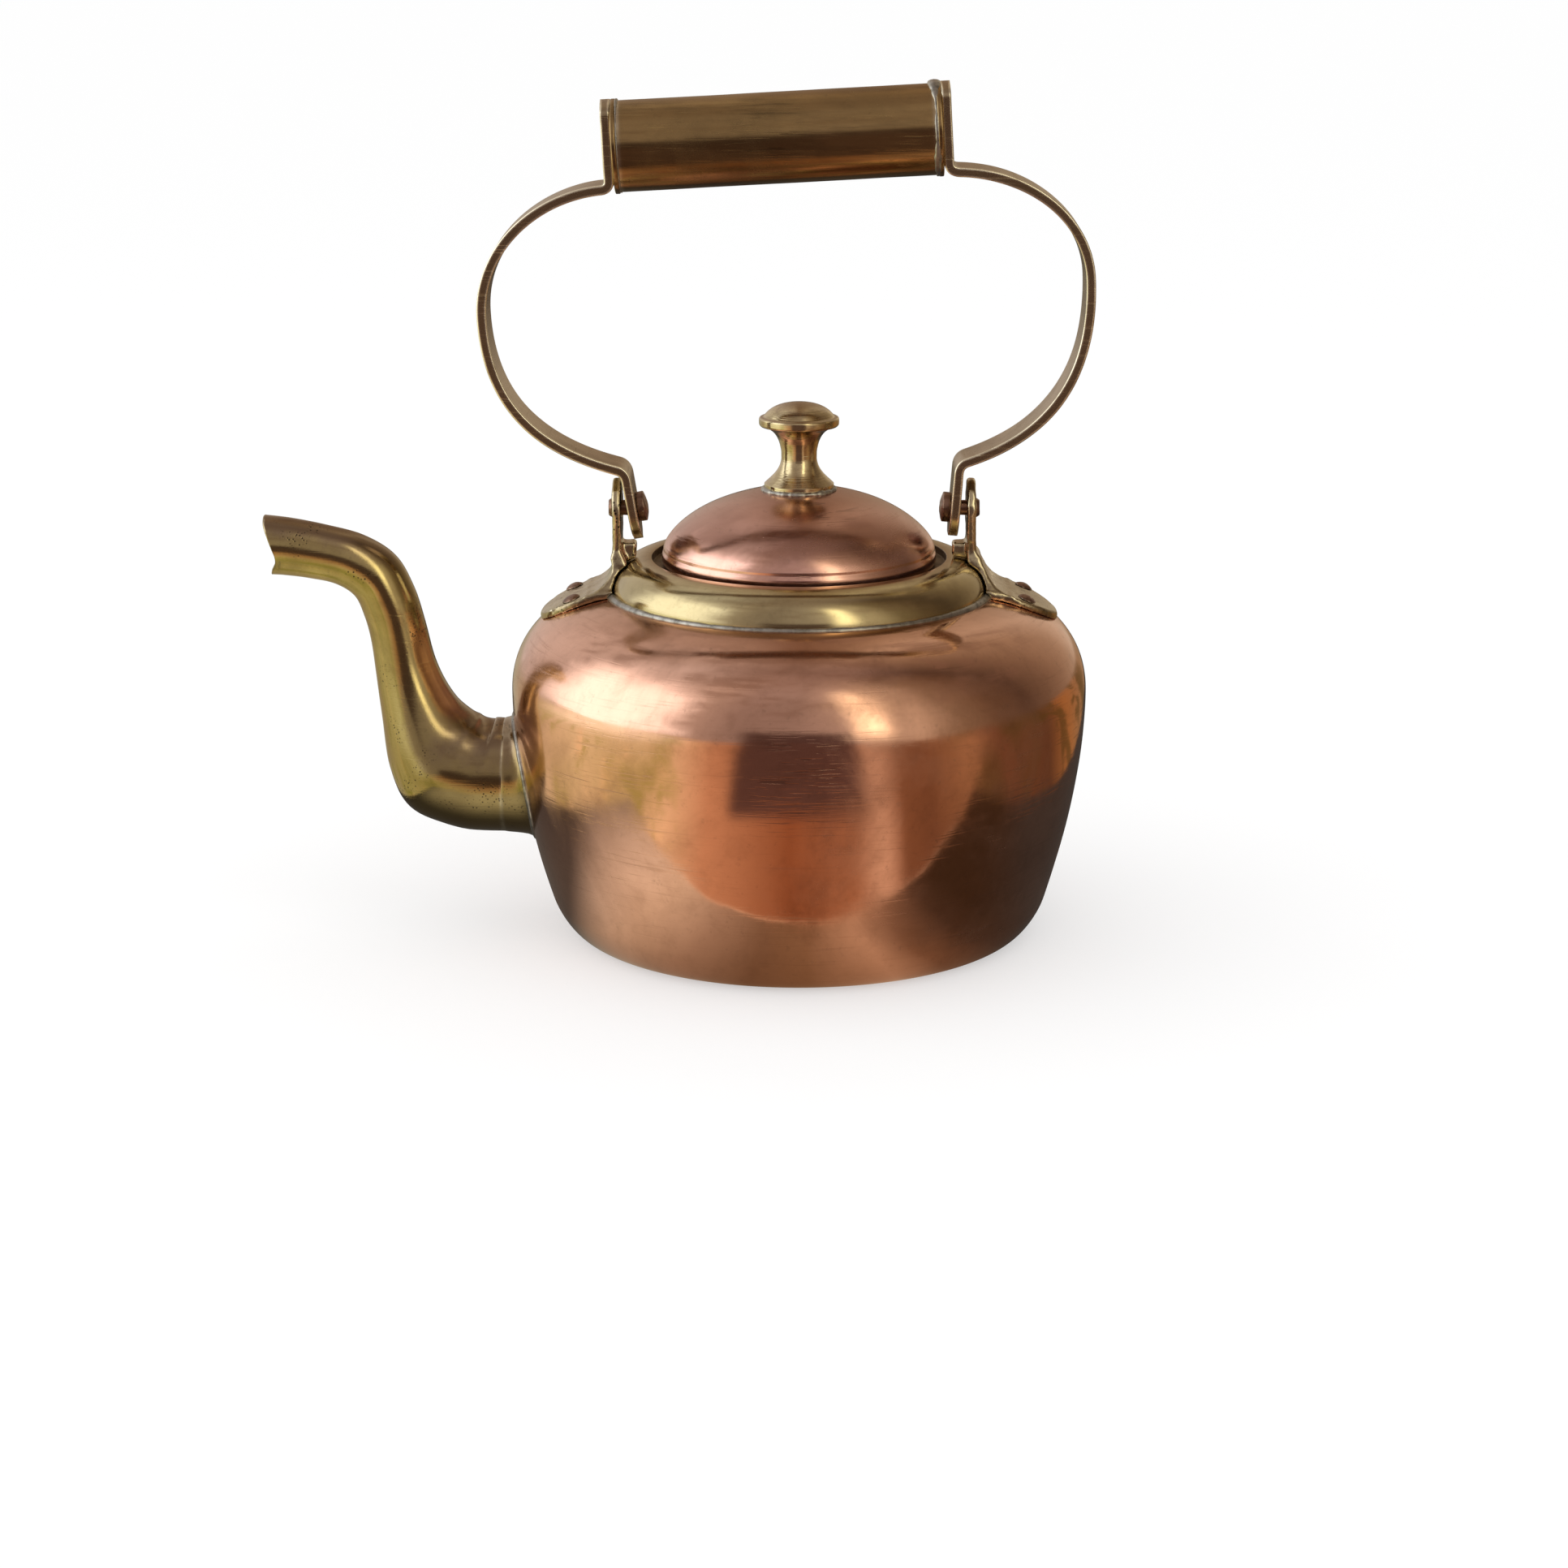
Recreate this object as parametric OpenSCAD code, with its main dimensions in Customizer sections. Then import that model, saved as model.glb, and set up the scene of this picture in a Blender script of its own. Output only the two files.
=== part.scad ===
// Copper kettle with a cast brass spout, a brass collar and a riveted swing handle.
// The origin is the middle of the base, on the table. +Z is up and the spout points to -X.

/* [Body] */
// Largest radius of the copper body
belly_r = 95; // [79:1:114]
// Height of the widest line of the belly
belly_z = 82; // [70:1:90]
// Radius of the flat base, where the bottom corner starts
base_r = 71.5; // [60:0.5:76]
// Height of the rounded bottom corner
heel_z = 12; // [8:1:16]
// Height at which the shoulder meets the collar
seam_z = 114; // [108:1:137]
// Thickness of the copper sheet
sheet_t = 1.2; // [0.8:0.1:1.6]
// Width of the brazed seam round the base plate
braze_w = 1; // [0.6:0.1:2]

/* [Collar] */
// Outer radius of the collar where it meets the shoulder
seam_r = 62.2; // [58:0.2:75]
// Outer radius of the collar's rim
rim_r = 49.8; // [41:0.1:55]
// Height of the collar above the seam
collar_h = 11.3; // [9:0.1:14]
// Thickness of the collar's brass
collar_t = 1.2; // [0.8:0.1:1.6]
// Depth of the lid seat below the rim
seat_depth = 2.6; // [1.5:0.1:4]
// Width of the seat under the lid's edge
seat_w = 2.8; // [2:0.1:5]

/* [Lid] */
// Width of the open groove between the rim and the lid
lid_groove = 3.2; // [2:0.1:4]
// Height of the lid's upright wall, up to the crease below its dome
lid_wall_h = 5; // [4:0.1:8]
// Height of the lid's dome above the crease
lid_rise = 20.6; // [15:0.1:24]
// Thickness of the lid's copper
lid_t = 1.1; // [0.8:0.1:1.6]
// Depth of the locating band below the lid's edge
band_depth = 9; // [5:0.5:12]
// Gap between the locating band and the mouth
band_gap = 0.6; // [0.4:0.1:1.5]

/* [Knob] */
// Radius of the knob's foot
knob_foot_r = 11.4; // [9:0.2:14]
// Radius of the knob's waist
knob_waist_r = 5.8; // [4.5:0.1:8]
// Radius of the knob's flange
knob_flange_r = 13.1; // [10:0.1:16]
// Height of the knob above the lid
knob_h = 27.9; // [23:0.1:34]
// Radius of the tenon that passes through the lid
tenon_r = 2.6; // [2:0.1:4]

/* [Spout] */
// Height of the spout's root above the table
spout_z = 50.8; // [46:0.2:56]
// Radius of the spout at its root
spout_root_r = 18.9; // [16:0.1:23]
// Radius of the spout's neck and mouth
spout_neck_r = 9.5; // [7.5:0.1:11.5]
// Length of the foot band beyond the belly's widest line
foot_band = 3; // [2:0.5:8]
// How far the spout reaches beyond its foot band
spout_reach = 78.5; // [65:0.5:95]
// How far the middle of the mouth stands above the root
spout_rise = 78.4; // [65:0.2:95]
// Thickness of the spout's wall
spout_t = 1.6; // [1.2:0.1:2.2]
// Radius of the water hole in the body behind the spout
water_hole_r = 14; // [10:0.5:15]

/* [Brackets] */
// Height of the handle's pivot line above the collar's rim
pivot_rise = 16.1; // [13:0.1:20]
// Gap from the collar's rim to the inner face of the eye
eye_gap = 6.7; // [5:0.1:9]
// Thickness of the bracket's eye
eye_t = 2.9; // [2.5:0.1:4]
// Outer radius of the bracket's eye
eye_r = 9.8; // [8:0.1:12]
// Thickness of the bracket's foot pad
pad_t = 2.4; // [1.8:0.1:3]
// Half of the width of the bracket's foot pad
pad_half_w = 14.5; // [12:0.5:17]
// How far the foot pad reaches out from the collar's seam
pad_reach = 23; // [20:0.5:27]
// How far both eyes are bent towards the spout
eye_sway = 1.6; // [0:0.1:3]
// Angle from the bracket's middle to each of its foot rivets
foot_rivet_angle = 7.4; // [6:0.1:8]

/* [Handle] */
// Width of the handle's brass bar
bar_w = 19; // [14:0.5:23]
// Thickness of the handle's brass bar
bar_t = 3.2; // [2.4:0.1:3.9]
// Distance from the tab's middle to the eye's middle at the pivot
tab_step = 5.3; // [5:0.1:7]
// Lean of each tab towards the lid
tab_lean = 7; // [0:0.5:8]
// Height of the knee above the pivot
knee_h = 14.4; // [12:0.1:19]
// How far the bows stand out beyond the knees
bow_out = 44.2; // [36:0.2:54]
// How much less the left bow stands out
bow_tuck = 1; // [0:0.1:2]
// Height of the bows' widest points above the pivot
bow_h = 67.5; // [54:0.5:78]
// How much higher the right bow's widest point is
bow_lift = 4.4; // [0:0.2:6]
// Height of the grip's middle above the pivot
grip_h = 120.7; // [104:0.1:140]
// Length of the tubular grip
grip_l = 102.4; // [85:0.2:123]
// Radius of the tubular grip
grip_r = 14.8; // [12:0.1:17.6]
// Thickness of the grip's brass sheet
grip_t = 1; // [0.6:0.1:1.6]
// Thickness of the discs that close the grip
disc_t = 1.6; // [1:0.1:2.5]
// Sideways lean that the handle has taken
handle_lean = 3.1; // [0:0.1:4]

/* [Rivets] */
// Radius of the pivot rivets' shanks
pivot_rivet_r = 2.5; // [2:0.1:3]
// Running clearance round the shank in the eye
pivot_fit = 0.05; // [0.02:0.01:0.09]
// Radius of the pivot rivets' heads
pivot_head_r = 4.9; // [4:0.1:6]
// Radius of the foot rivets' shanks
foot_rivet_r = 1.9; // [1.5:0.1:2.5]

/* [Hidden] */

$fn = 96;
LEFT = -1;
RIGHT = 1;
curve_steps = 14;

copper = [0.72, 0.43, 0.33];
lid_copper = [0.76, 0.48, 0.40];
brass = [0.66, 0.55, 0.28];
grip_brass = [0.50, 0.38, 0.18];
solder = [0.62, 0.62, 0.60];

// Collar and lid places
top_z = seam_z + collar_h;
seat_z = top_z - seat_depth;
rim_t = 1.4;
lip_w = 3.7;
turn_down = 2.8;
groove_to_lid = rim_t + lid_groove;
lid_r = rim_r - groove_to_lid;
mouth_r = lid_r - seat_w;
lid_seat_gap = 0.1;
lid_z = seat_z + lid_seat_gap;
crease_z = lid_z + lid_wall_h;
apex_z = crease_z + lid_rise;
band_r = mouth_r - band_gap;
band_t = 1;

// Spout places
foot_x = belly_r + foot_band;
foot_flare = 1;
spout_sides = 24;
rings_per_step = 3;

// Bracket and handle places
pivot_z = top_z + pivot_rise;
eye_inner = rim_r + eye_gap;
eye_outer = eye_inner + eye_t;
eye_mid = eye_inner + eye_t / 2;
tab_mid = eye_mid - tab_step;
tab_end_r = bar_w / 2;
knee_x = tab_mid + knee_h * tan(tab_lean);
plate_inner = grip_l / 2 + disc_t;
plate_x = plate_inner + bar_t / 2;
grip_z = pivot_z + grip_h;
plate_end_z = grip_z + grip_r + 0.6;
arm_top_z = grip_z - grip_r + bar_t / 2 + 0.2;
disc_proud = 0.4;

function flip(points) = [for (i = [len(points) - 1:-1:0]) points[i]];
function bezier(c, t) =
    c[0] * (1 - t) ^ 3 + 3 * c[1] * t * (1 - t) ^ 2 + 3 * c[2] * t ^ 2 * (1 - t) + c[3] * t ^ 3;
function bezier_way(c, t) =
    (c[1] - c[0]) * (1 - t) ^ 2 + 2 * (c[2] - c[1]) * t * (1 - t) + (c[3] - c[2]) * t ^ 2;
function bezier_points(c, first = 0) = [for (i = [first:curve_steps]) bezier(c, i / curve_steps)];
function unit(v) = v / norm(v);

// ---- Body profile: bottom corner, side and shoulder, from the base to the collar ----

heel_r = base_r + (belly_r - base_r) * 0.47;
heel_way = [0.33, 1];
corner = [[base_r, 0], [base_r + 5, 0], [heel_r, heel_z] - 4 * heel_way, [heel_r, heel_z]];
side_rise = belly_z - heel_z;
side = [[heel_r, heel_z], [heel_r, heel_z] + 0.23 * side_rise * heel_way,
        [belly_r, belly_z - 0.38 * side_rise], [belly_r, belly_z]];
lip_way = unit([-22, 4]);
shoulder = [[belly_r, belly_z], [belly_r, belly_z + 0.47 * (seam_z - belly_z)],
            [seam_r, seam_z] - 23 * lip_way, [seam_r, seam_z]];
lip_end = [seam_r, seam_z] + lip_w * lip_way;

// A point of the profile, moved out by a distance along the outward normal
function profile_point(c, t, out) =
    let (way = unit(bezier_way(c, t))) bezier(c, t) + out * [way[1], -way[0]];
function profile_run(c, first, out) =
    [for (i = [first:curve_steps]) profile_point(c, i / curve_steps, out)];
function profile(out) = concat(profile_run(corner, 0, out), profile_run(side, 1, out),
    profile_run(shoulder, 1, out), [lip_end + out * [lip_way[1], -lip_way[0]]]);

module body_solid(out = 0) {
    wall = profile(out);
    rotate_extrude()
        polygon(concat([[0, wall[0][1]]], wall, [[0, wall[len(wall) - 1][1]]]));
}

module body_shell() {
    color(copper)
    difference() {
        rotate_extrude() polygon(concat(profile(0), flip(profile(-sheet_t))));
        translate([0, 0, spout_z]) rotate([0, -90, 0]) cylinder(r = water_hole_r, h = 2 * belly_r);
        foot_rivet_places(LEFT) foot_rivet_hole();
        foot_rivet_places(RIGHT) foot_rivet_hole();
    }
}

module base_plate() {
    color(copper) cylinder(r = base_r - braze_w, h = sheet_t);
}

module base_braze() {
    color(brass)
    difference() {
        cylinder(r = base_r, h = sheet_t);
        translate([0, 0, -1]) cylinder(r = base_r - braze_w, h = sheet_t + 2);
    }
}

// ---- Collar ----

collar_a = seam_r - rim_r;
function collar_arc(in) =
    [for (s = [0:7.5:90]) [rim_r + (collar_a - in) * cos(s), seam_z + (collar_h - in) * sin(s)]];

module collar_solid(out = 0) {
    arc = collar_arc(-out);
    rotate_extrude() polygon(concat([[0, seam_z - 4], [seam_r + out, seam_z - 4]], arc,
        [[0, top_z + out]]));
}

module collar() {
    section = concat(
        [[seam_r, seam_z - 1]],
        collar_arc(0),
        [[rim_r - rim_t, top_z], [rim_r - rim_t, seat_z], [mouth_r, seat_z],
         [mouth_r, seat_z - turn_down], [mouth_r + collar_t, seat_z - turn_down],
         [mouth_r + collar_t, seat_z - collar_t], [rim_r, seat_z - collar_t]],
        flip(collar_arc(collar_t)),
        [[seam_r - collar_t, seam_z - 1]]);
    color(brass)
    difference() {
        rotate_extrude() polygon(section);
        body_solid();
    }
}

bead_r = 1.2;
bead_gap = 0.1;
module seam_bead(r) {
    rotate_extrude() translate([seam_r + 0.4, seam_z]) circle(r = r, $fn = 24);
}

module collar_solder() {
    color(solder)
    difference() {
        seam_bead(bead_r);
        body_solid();
        collar_solid();
    }
}

// ---- Spout: rows are shares of the reach, of the rise and of the way from root to neck ----

spout_path = [[0, 0, 0], [0.13, 0.01, -0.02], [0.26, 0.053, 0.04], [0.327, 0.153, 0.36],
              [0.371, 0.31, 0.71], [0.41, 0.465, 0.92], [0.44, 0.63, 1], [0.474, 0.755, 1],
              [0.53, 0.865, 1], [0.635, 0.934, 1.02], [0.77, 0.969, 1.02], [0.9, 0.99, 0.99],
              [1, 1, 0.98]];
last_row = len(spout_path) - 1;

function blend_rows(a, b, c, d, t) = 0.5 * (2 * b + (c - a) * t
    + (2 * a - 5 * b + 4 * c - d) * t ^ 2 + (3 * b - a - 3 * c + d) * t ^ 3);
function row(i) = spout_path[max(0, min(last_row, i))];
function spout_row(u) =
    let (i = min(last_row - 1, floor(u))) blend_rows(row(i - 1), row(i), row(i + 1), row(i + 2), u - i);
function spout_centre(u) =
    let (s = spout_row(u)) [-foot_x - spout_reach * s[0], spout_z + spout_rise * s[1]];
function spout_radius(u) = spout_root_r + (spout_neck_r - spout_root_r) * spout_row(u)[2];
function spout_way(u) =
    u == 0 ? [-1, 0] : unit(spout_centre(min(last_row, u + 0.05)) - spout_centre(u - 0.05));

// The mouth is cut to a beak: v runs from -1 at the lower lip to 1 at the upper lip
lower_lip = -4.2;
notch = -6.4;
upper_lip = 0.4;
notch_v = -0.35;
function beak(v) = v < notch_v
    ? lower_lip + (notch - lower_lip) * (v + 1) / (notch_v + 1)
    : notch + (upper_lip - notch) * (v - notch_v) / (1 - notch_v);

// The cut is shared among the last rings, so that they don't cross
function spout_ring(u, r) =
    let (c = spout_centre(u), w = spout_way(u), n = [w[1], -w[0]], share = max(0, u - last_row + 1))
    [for (k = [0:spout_sides - 1])
        let (a = 360 * k / spout_sides, p = c + r * cos(a) * n + share * beak(cos(a)) * w)
        [p[0], r * sin(a), p[1]]];

module spout() {
    rings = last_row * rings_per_step;
    n = spout_sides;
    outer = [for (i = [0:rings])
        each spout_ring(i / rings_per_step, spout_radius(i / rings_per_step))];
    inner = [for (i = [0:rings])
        each spout_ring(i / rings_per_step, spout_radius(i / rings_per_step) - spout_t)];
    m = len(outer);
    skin = [for (i = [0:rings - 1], k = [0:n - 1])
        [i * n + k, i * n + (k + 1) % n, (i + 1) * n + (k + 1) % n, (i + 1) * n + k]];
    bore = [for (f = skin) [f[3] + m, f[2] + m, f[1] + m, f[0] + m]];
    root = [for (k = [0:n - 1]) [k, k + m, (k + 1) % n + m, (k + 1) % n]];
    tip = [for (k = [0:n - 1]) let (a = rings * n + k, b = rings * n + (k + 1) % n)
        [a, b, b + m, a + m]];
    color(brass) polyhedron(points = concat(outer, inner), faces = concat(skin, bore, root, tip));
}

module along_spout() {
    translate([0, 0, spout_z]) rotate([0, -90, 0]) children();
}

module foot_cone() {
    root_len = foot_x - belly_r * 0.8;
    along_spout() translate([0, 0, foot_x - root_len])
        cylinder(r1 = spout_root_r + foot_flare + 1.2, r2 = spout_root_r + 0.2, h = root_len);
}

module spout_foot() {
    inner_r = spout_root_r - spout_t;
    color(brass)
    difference() {
        foot_cone();
        along_spout() cylinder(r = inner_r, h = 2 * foot_x);
        body_solid();
    }
}

module spout_solder() {
    bead_t = 1.1;
    bead_out = 2;
    ring_in = spout_root_r + foot_flare - 0.2;
    color(solder)
    difference() {
        intersection() {
            body_solid(bead_t);
            along_spout() translate([0, 0, belly_r * 0.6])
                cylinder(r = ring_in + bead_out, h = belly_r);
        }
        along_spout() cylinder(r = ring_in + 0.4, h = 2 * foot_x);
        foot_cone();
        body_solid();
    }
}

// ---- Brackets and their foot rivets ----

rivet_t = 0.8;
rivet_spot = profile_point(shoulder, rivet_t, 0);
rivet_way = unit(bezier_way(shoulder, rivet_t));
rivet_tilt = atan2(rivet_way[1], -rivet_way[0]);
foot_head_r = 3.2;
foot_head_h = 1.3;
burr_h = 0.8;
burr_gap = 0.15;

// Puts children on the shoulder at a bracket's two rivets, with +Z along the outward normal
module foot_rivet_places(hand) {
    for (s = [-1, 1])
        rotate([0, 0, (hand > 0 ? 0 : 180) + s * foot_rivet_angle])
        translate([rivet_spot[0], 0, rivet_spot[1]]) rotate([0, rivet_tilt, 0]) children();
}

module foot_rivet_hole() {
    translate([0, 0, -sheet_t - 3]) cylinder(r = foot_rivet_r, h = 12);
}

module dome_head(r, h) {
    ball = (r * r + h * h) / (2 * h);
    reach = asin(r / ball);
    rotate_extrude() polygon(concat([[0, 0]],
        [for (i = [0:8]) let (a = reach * (1 - i / 8)) [ball * sin(a), ball * cos(a) - ball + h]]));
}

module bracket_rivets(hand) {
    burr_end = -sheet_t - burr_gap - burr_h;
    color(copper)
    foot_rivet_places(hand) {
        translate([0, 0, burr_end]) cylinder(r = foot_rivet_r + 1, h = burr_h);
        translate([0, 0, burr_end]) cylinder(r = foot_rivet_r, h = pad_t - burr_end);
        translate([0, 0, pad_t]) dome_head(foot_head_r, foot_head_h);
    }
}

// Side outline of the upright for one hand, bent over by the sway towards its eye
fillet_r = 11.5;
root_outer = eye_outer + 1.2;
fillet_z = seam_z + 12;
sway_from = seam_z + 8;
sway_full = pivot_z - eye_r - 3.5;
function bend(p, hand) =
    [hand * p[0] - eye_sway * max(0, min(1, (p[1] - sway_from) / (sway_full - sway_from))), p[1]];
function upright(hand) = [for (p = concat(
    [[eye_inner, pivot_z + eye_r + 1], [eye_inner, sway_full], [eye_inner - 1.2, sway_from],
     [eye_inner - 1.2, seam_z - 6], [max(seam_r + 12, root_outer + fillet_r), seam_z - 6]],
    [for (s = [80:-10:0]) [root_outer + fillet_r - fillet_r * cos(s), fillet_z - fillet_r * sin(s)]],
    [[eye_outer, sway_full], [eye_outer, pivot_z + eye_r + 1]])) bend(p, hand)];

module bracket_front() {
    neck = eye_r * 0.8;
    rotate([90, 0, 90]) linear_extrude(height = 300, center = true) {
        translate([0, pivot_z]) circle(r = eye_r);
        polygon([[-eye_r * 0.96, pivot_z - eye_r * 0.28], [-neck, pivot_z - eye_r * 1.3],
                 [-neck - 1.5, fillet_z - 4], [-pad_half_w, seam_z + 1], [-pad_half_w, seam_z - 20],
                 [pad_half_w, seam_z - 20], [pad_half_w, seam_z + 1], [neck + 1.5, fillet_z - 4],
                 [neck, pivot_z - eye_r * 1.3], [eye_r * 0.96, pivot_z - eye_r * 0.28]]);
    }
}

module bracket(hand) {
    tip = seam_r + pad_reach - pad_half_w;
    pivot_bore = pivot_rivet_r + pivot_fit;
    boss_top = pivot_z - tab_end_r - 1.6;
    boss_h = 6;
    boss_out = 6.4;
    color(brass)
    difference() {
        union() {
            intersection() {
                rotate([90, 0, 0]) linear_extrude(height = 60, center = true)
                    polygon(upright(hand));
                bracket_front();
            }
            intersection() {
                body_solid(pad_t);
                turn_hand(hand) translate([0, 0, seam_z - 30]) linear_extrude(height = 60) {
                    translate([tip, 0]) circle(r = pad_half_w);
                    translate([seam_r - 2, -pad_half_w]) square([tip - seam_r + 2, 2 * pad_half_w]);
                }
            }
            // Small casting boss below the tab's end
            translate([hand * (eye_inner - 1.5) - eye_sway, 0, boss_top - boss_h / 2])
                cube([boss_out, 7, boss_h], center = true);
        }
        body_solid();
        collar_solid(0.35);
        seam_bead(bead_r + bead_gap);
        translate([-200, 0, pivot_z]) rotate([0, 90, 0]) cylinder(r = pivot_bore, h = 400);
        foot_rivet_places(hand) foot_rivet_hole();
    }
}

module turn_hand(hand) {
    rotate([0, 0, hand > 0 ? 0 : 180]) children();
}

// ---- Lid ----

// The dome is between an ellipse and a ball's cap, and the wall below its crease bulges a little
crease_in = 0.4;
roundness = 0.4;
function dome_rise(r, edge, h) =
    let (ball = (edge * edge + h * h) / (2 * h))
    (1 - roundness) * h * sqrt(max(0, 1 - (r / edge) ^ 2))
    + roundness * (sqrt(ball * ball - r * r) - ball + h);
function dome(in) =
    let (edge = lid_r - crease_in - in, h = lid_rise - in)
    concat([[edge, lid_z], [edge + crease_in, lid_z + lid_wall_h * 0.3],
            [edge + crease_in, lid_z + lid_wall_h * 0.7]],
           [for (s = [0:5:90]) [edge * cos(s), crease_z + dome_rise(edge * cos(s), edge, h)]]);

module dome_solid(in = 0) {
    rotate_extrude() polygon(concat([[0, lid_z]], dome(in)));
}

module lid_shell() {
    rotate_extrude() polygon(concat(dome(0), flip(dome(lid_t))));
}

module lid_dome() {
    color(lid_copper)
    difference() {
        lid_shell();
        cylinder(r = tenon_r, h = 2 * apex_z);
    }
}

module lid_band() {
    color(brass)
    intersection() {
        translate([0, 0, seat_z - band_depth])
            difference() {
                cylinder(r = band_r, h = band_depth + lid_rise + lid_wall_h);
                translate([0, 0, -1]) cylinder(r = band_r - band_t, h = band_depth + lid_rise + lid_wall_h + 2);
            }
        union() {
            dome_solid(lid_t);
            cylinder(r = lid_r - lid_t, h = lid_z);
        }
    }
}

flange_z = apex_z + knob_h * 0.725;
waist_z = apex_z + knob_h * 0.34;
knob_profile = concat(
    [[0, apex_z], [knob_foot_r, apex_z], [knob_foot_r, apex_z + 1.2]],
    bezier_points([[knob_foot_r, apex_z + 1.2], [knob_foot_r - 2.2, apex_z + 3.4],
                   [knob_waist_r + 0.4, apex_z + 5.4], [knob_waist_r, waist_z]], 1),
    bezier_points([[knob_waist_r, waist_z], [knob_waist_r, flange_z - 4],
                   [knob_waist_r + 2.4, flange_z - 0.8], [knob_flange_r - 0.5, flange_z]], 1),
    [[knob_flange_r, flange_z + 0.5], [knob_flange_r, flange_z + 2.7],
     [knob_flange_r - 0.5, flange_z + 3.2], [knob_flange_r - 3.4, flange_z + 3.2]],
    bezier_points([[knob_flange_r - 3.6, flange_z + 3.4], [knob_flange_r - 4.6, apex_z + knob_h - 0.8],
                   [knob_flange_r * 0.3, apex_z + knob_h], [0, apex_z + knob_h]]));

module lid_knob() {
    color(brass) {
        rotate_extrude() polygon(knob_profile);
        translate([0, 0, apex_z - lid_t - 1.2]) cylinder(r = tenon_r, h = lid_t + 1.7);
    }
}

module knob_burr() {
    burr_r = 6;
    color(copper)
    difference() {
        translate([0, 0, apex_z - lid_t - 1.2]) cylinder(r = burr_r, h = 1.2);
        lid_shell();
        cylinder(r = tenon_r, h = 2 * apex_z);
    }
}

module knob_solder() {
    color(solder)
    difference() {
        rotate_extrude() polygon([[knob_foot_r - 3, apex_z - 3], [knob_foot_r + 1.5, apex_z - 3],
            [knob_foot_r + 1, apex_z - 0.3], [knob_foot_r, apex_z + 0.8],
            [knob_foot_r - 3, apex_z + 0.8]]);
        dome_solid();
        rotate_extrude() polygon(knob_profile);
    }
}

// ---- Handle: bent bars, tubular grip and pivot rivets ----

lean_slope = tan(handle_lean);
side_share = 0.82;
low_share = 0.35;

// Places a point of the upright handle for one hand, leaned over more and more towards the grip
function leaned(p, hand) =
    let (up = p[1] - pivot_z, slope = lean_slope * (low_share + (1 - low_share) * up / grip_h))
    [hand * p[0] - eye_sway - up * side_share * lean_slope, p[1] + hand * p[0] * slope];
grip_middle = leaned([0, grip_z], RIGHT);
function at_grip(x, up) =
    grip_middle + [x * cos(handle_lean) - up * sin(handle_lean),
                   x * sin(handle_lean) + up * cos(handle_lean)];

knee = [knee_x, pivot_z + knee_h];
join = [plate_x, arm_top_z];
function arm(hand) =
    let (out = hand == LEFT ? bow_out - bow_tuck : bow_out,
         rise = hand == LEFT ? bow_h : bow_h + bow_lift,
         bow = [knee_x + out, pivot_z + rise])
    concat(bezier_points([knee, knee + [0.62 * out, 0.17 * out], bow - [0, 0.46 * rise], bow]),
           bezier_points([bow, bow + [0, 0.61 * (grip_h - grip_r - rise)],
                          join + [0.52 * (bow[0] - plate_x), 0], join], 1));
tab_tip = [tab_mid - (tab_end_r + 2) * tan(tab_lean), pivot_z - tab_end_r - 2];
function bar_path(hand) = concat(
    [leaned(tab_tip, hand)],
    [for (i = [0:len(arm(hand)) - 2]) leaned(arm(hand)[i], hand)],
    [at_grip(hand * plate_x, arm_top_z - grip_z), at_grip(hand * plate_x, plate_end_z - grip_z)]);

// Outline of a bar of even thickness along a path, with mitred corners
function mitre(path, i) =
    let (a = i == 0 ? unit(path[1] - path[0]) : unit(path[i] - path[i - 1]),
         b = i == len(path) - 1 ? a : unit(path[i + 1] - path[i]),
         n = unit([-(a + b)[1], (a + b)[0]]))
    n / (n * [-a[1], a[0]]);
function bar_outline(path) = concat(
    [for (i = [0:len(path) - 1]) path[i] + bar_t / 2 * mitre(path, i)],
    [for (i = [len(path) - 1:-1:0]) path[i] - bar_t / 2 * mitre(path, i)]);

module strap(hand) {
    color(brass)
    difference() {
        rotate([90, 0, 0]) linear_extrude(height = bar_w, center = true)
            polygon(bar_outline(bar_path(hand)));
        // The tab's end is round about the pivot
        difference() {
            translate([hand * tab_mid - eye_sway - 15, -bar_w, pivot_z - 30])
                cube([30, 2 * bar_w, 30]);
            translate([-200, 0, pivot_z]) rotate([0, 90, 0]) cylinder(r = tab_end_r, h = 400);
        }
        translate([hand * tab_mid - eye_sway - 15, 0, pivot_z]) rotate([0, 90, 0])
            cylinder(r = pivot_rivet_r, h = 30);
        // The plate's upper end is rounded to the grip
        grip_frame() translate([hand * plate_x, 0, 0]) difference() {
            translate([-8, -bar_w, 0]) cube([16, 2 * bar_w, 2 * grip_r]);
            rotate([0, 90, 0]) cylinder(r = grip_r + disc_proud, h = 40, center = true);
        }
    }
}

module grip_frame() {
    translate([grip_middle[0], 0, grip_middle[1]]) rotate([0, -handle_lean, 0]) children();
}

module grip_tube() {
    color(grip_brass)
    grip_frame() rotate([0, 90, 0])
        difference() {
            cylinder(r = grip_r, h = grip_l, center = true);
            cylinder(r = grip_r - grip_t, h = grip_l + 2, center = true);
        }
}

module grip_end(hand) {
    color(brass)
    grip_frame() translate([hand * (grip_l + disc_t) / 2, 0, 0]) rotate([0, 90, 0])
        cylinder(r = grip_r + disc_proud, h = disc_t, center = true);
}

// A bead round the end of the grip, over the joint between tube and disc
module grip_solder(hand, bead_w) {
    bead_h = 0.9;
    color(solder)
    grip_frame() rotate([0, hand * 90, 0]) translate([0, 0, grip_l / 2])
        rotate_extrude() polygon([[grip_r, 0], [grip_r + bead_h, 0],
            [grip_r + bead_h * 0.7, -bead_w * 0.6], [grip_r, -bead_w]]);
}

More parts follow.
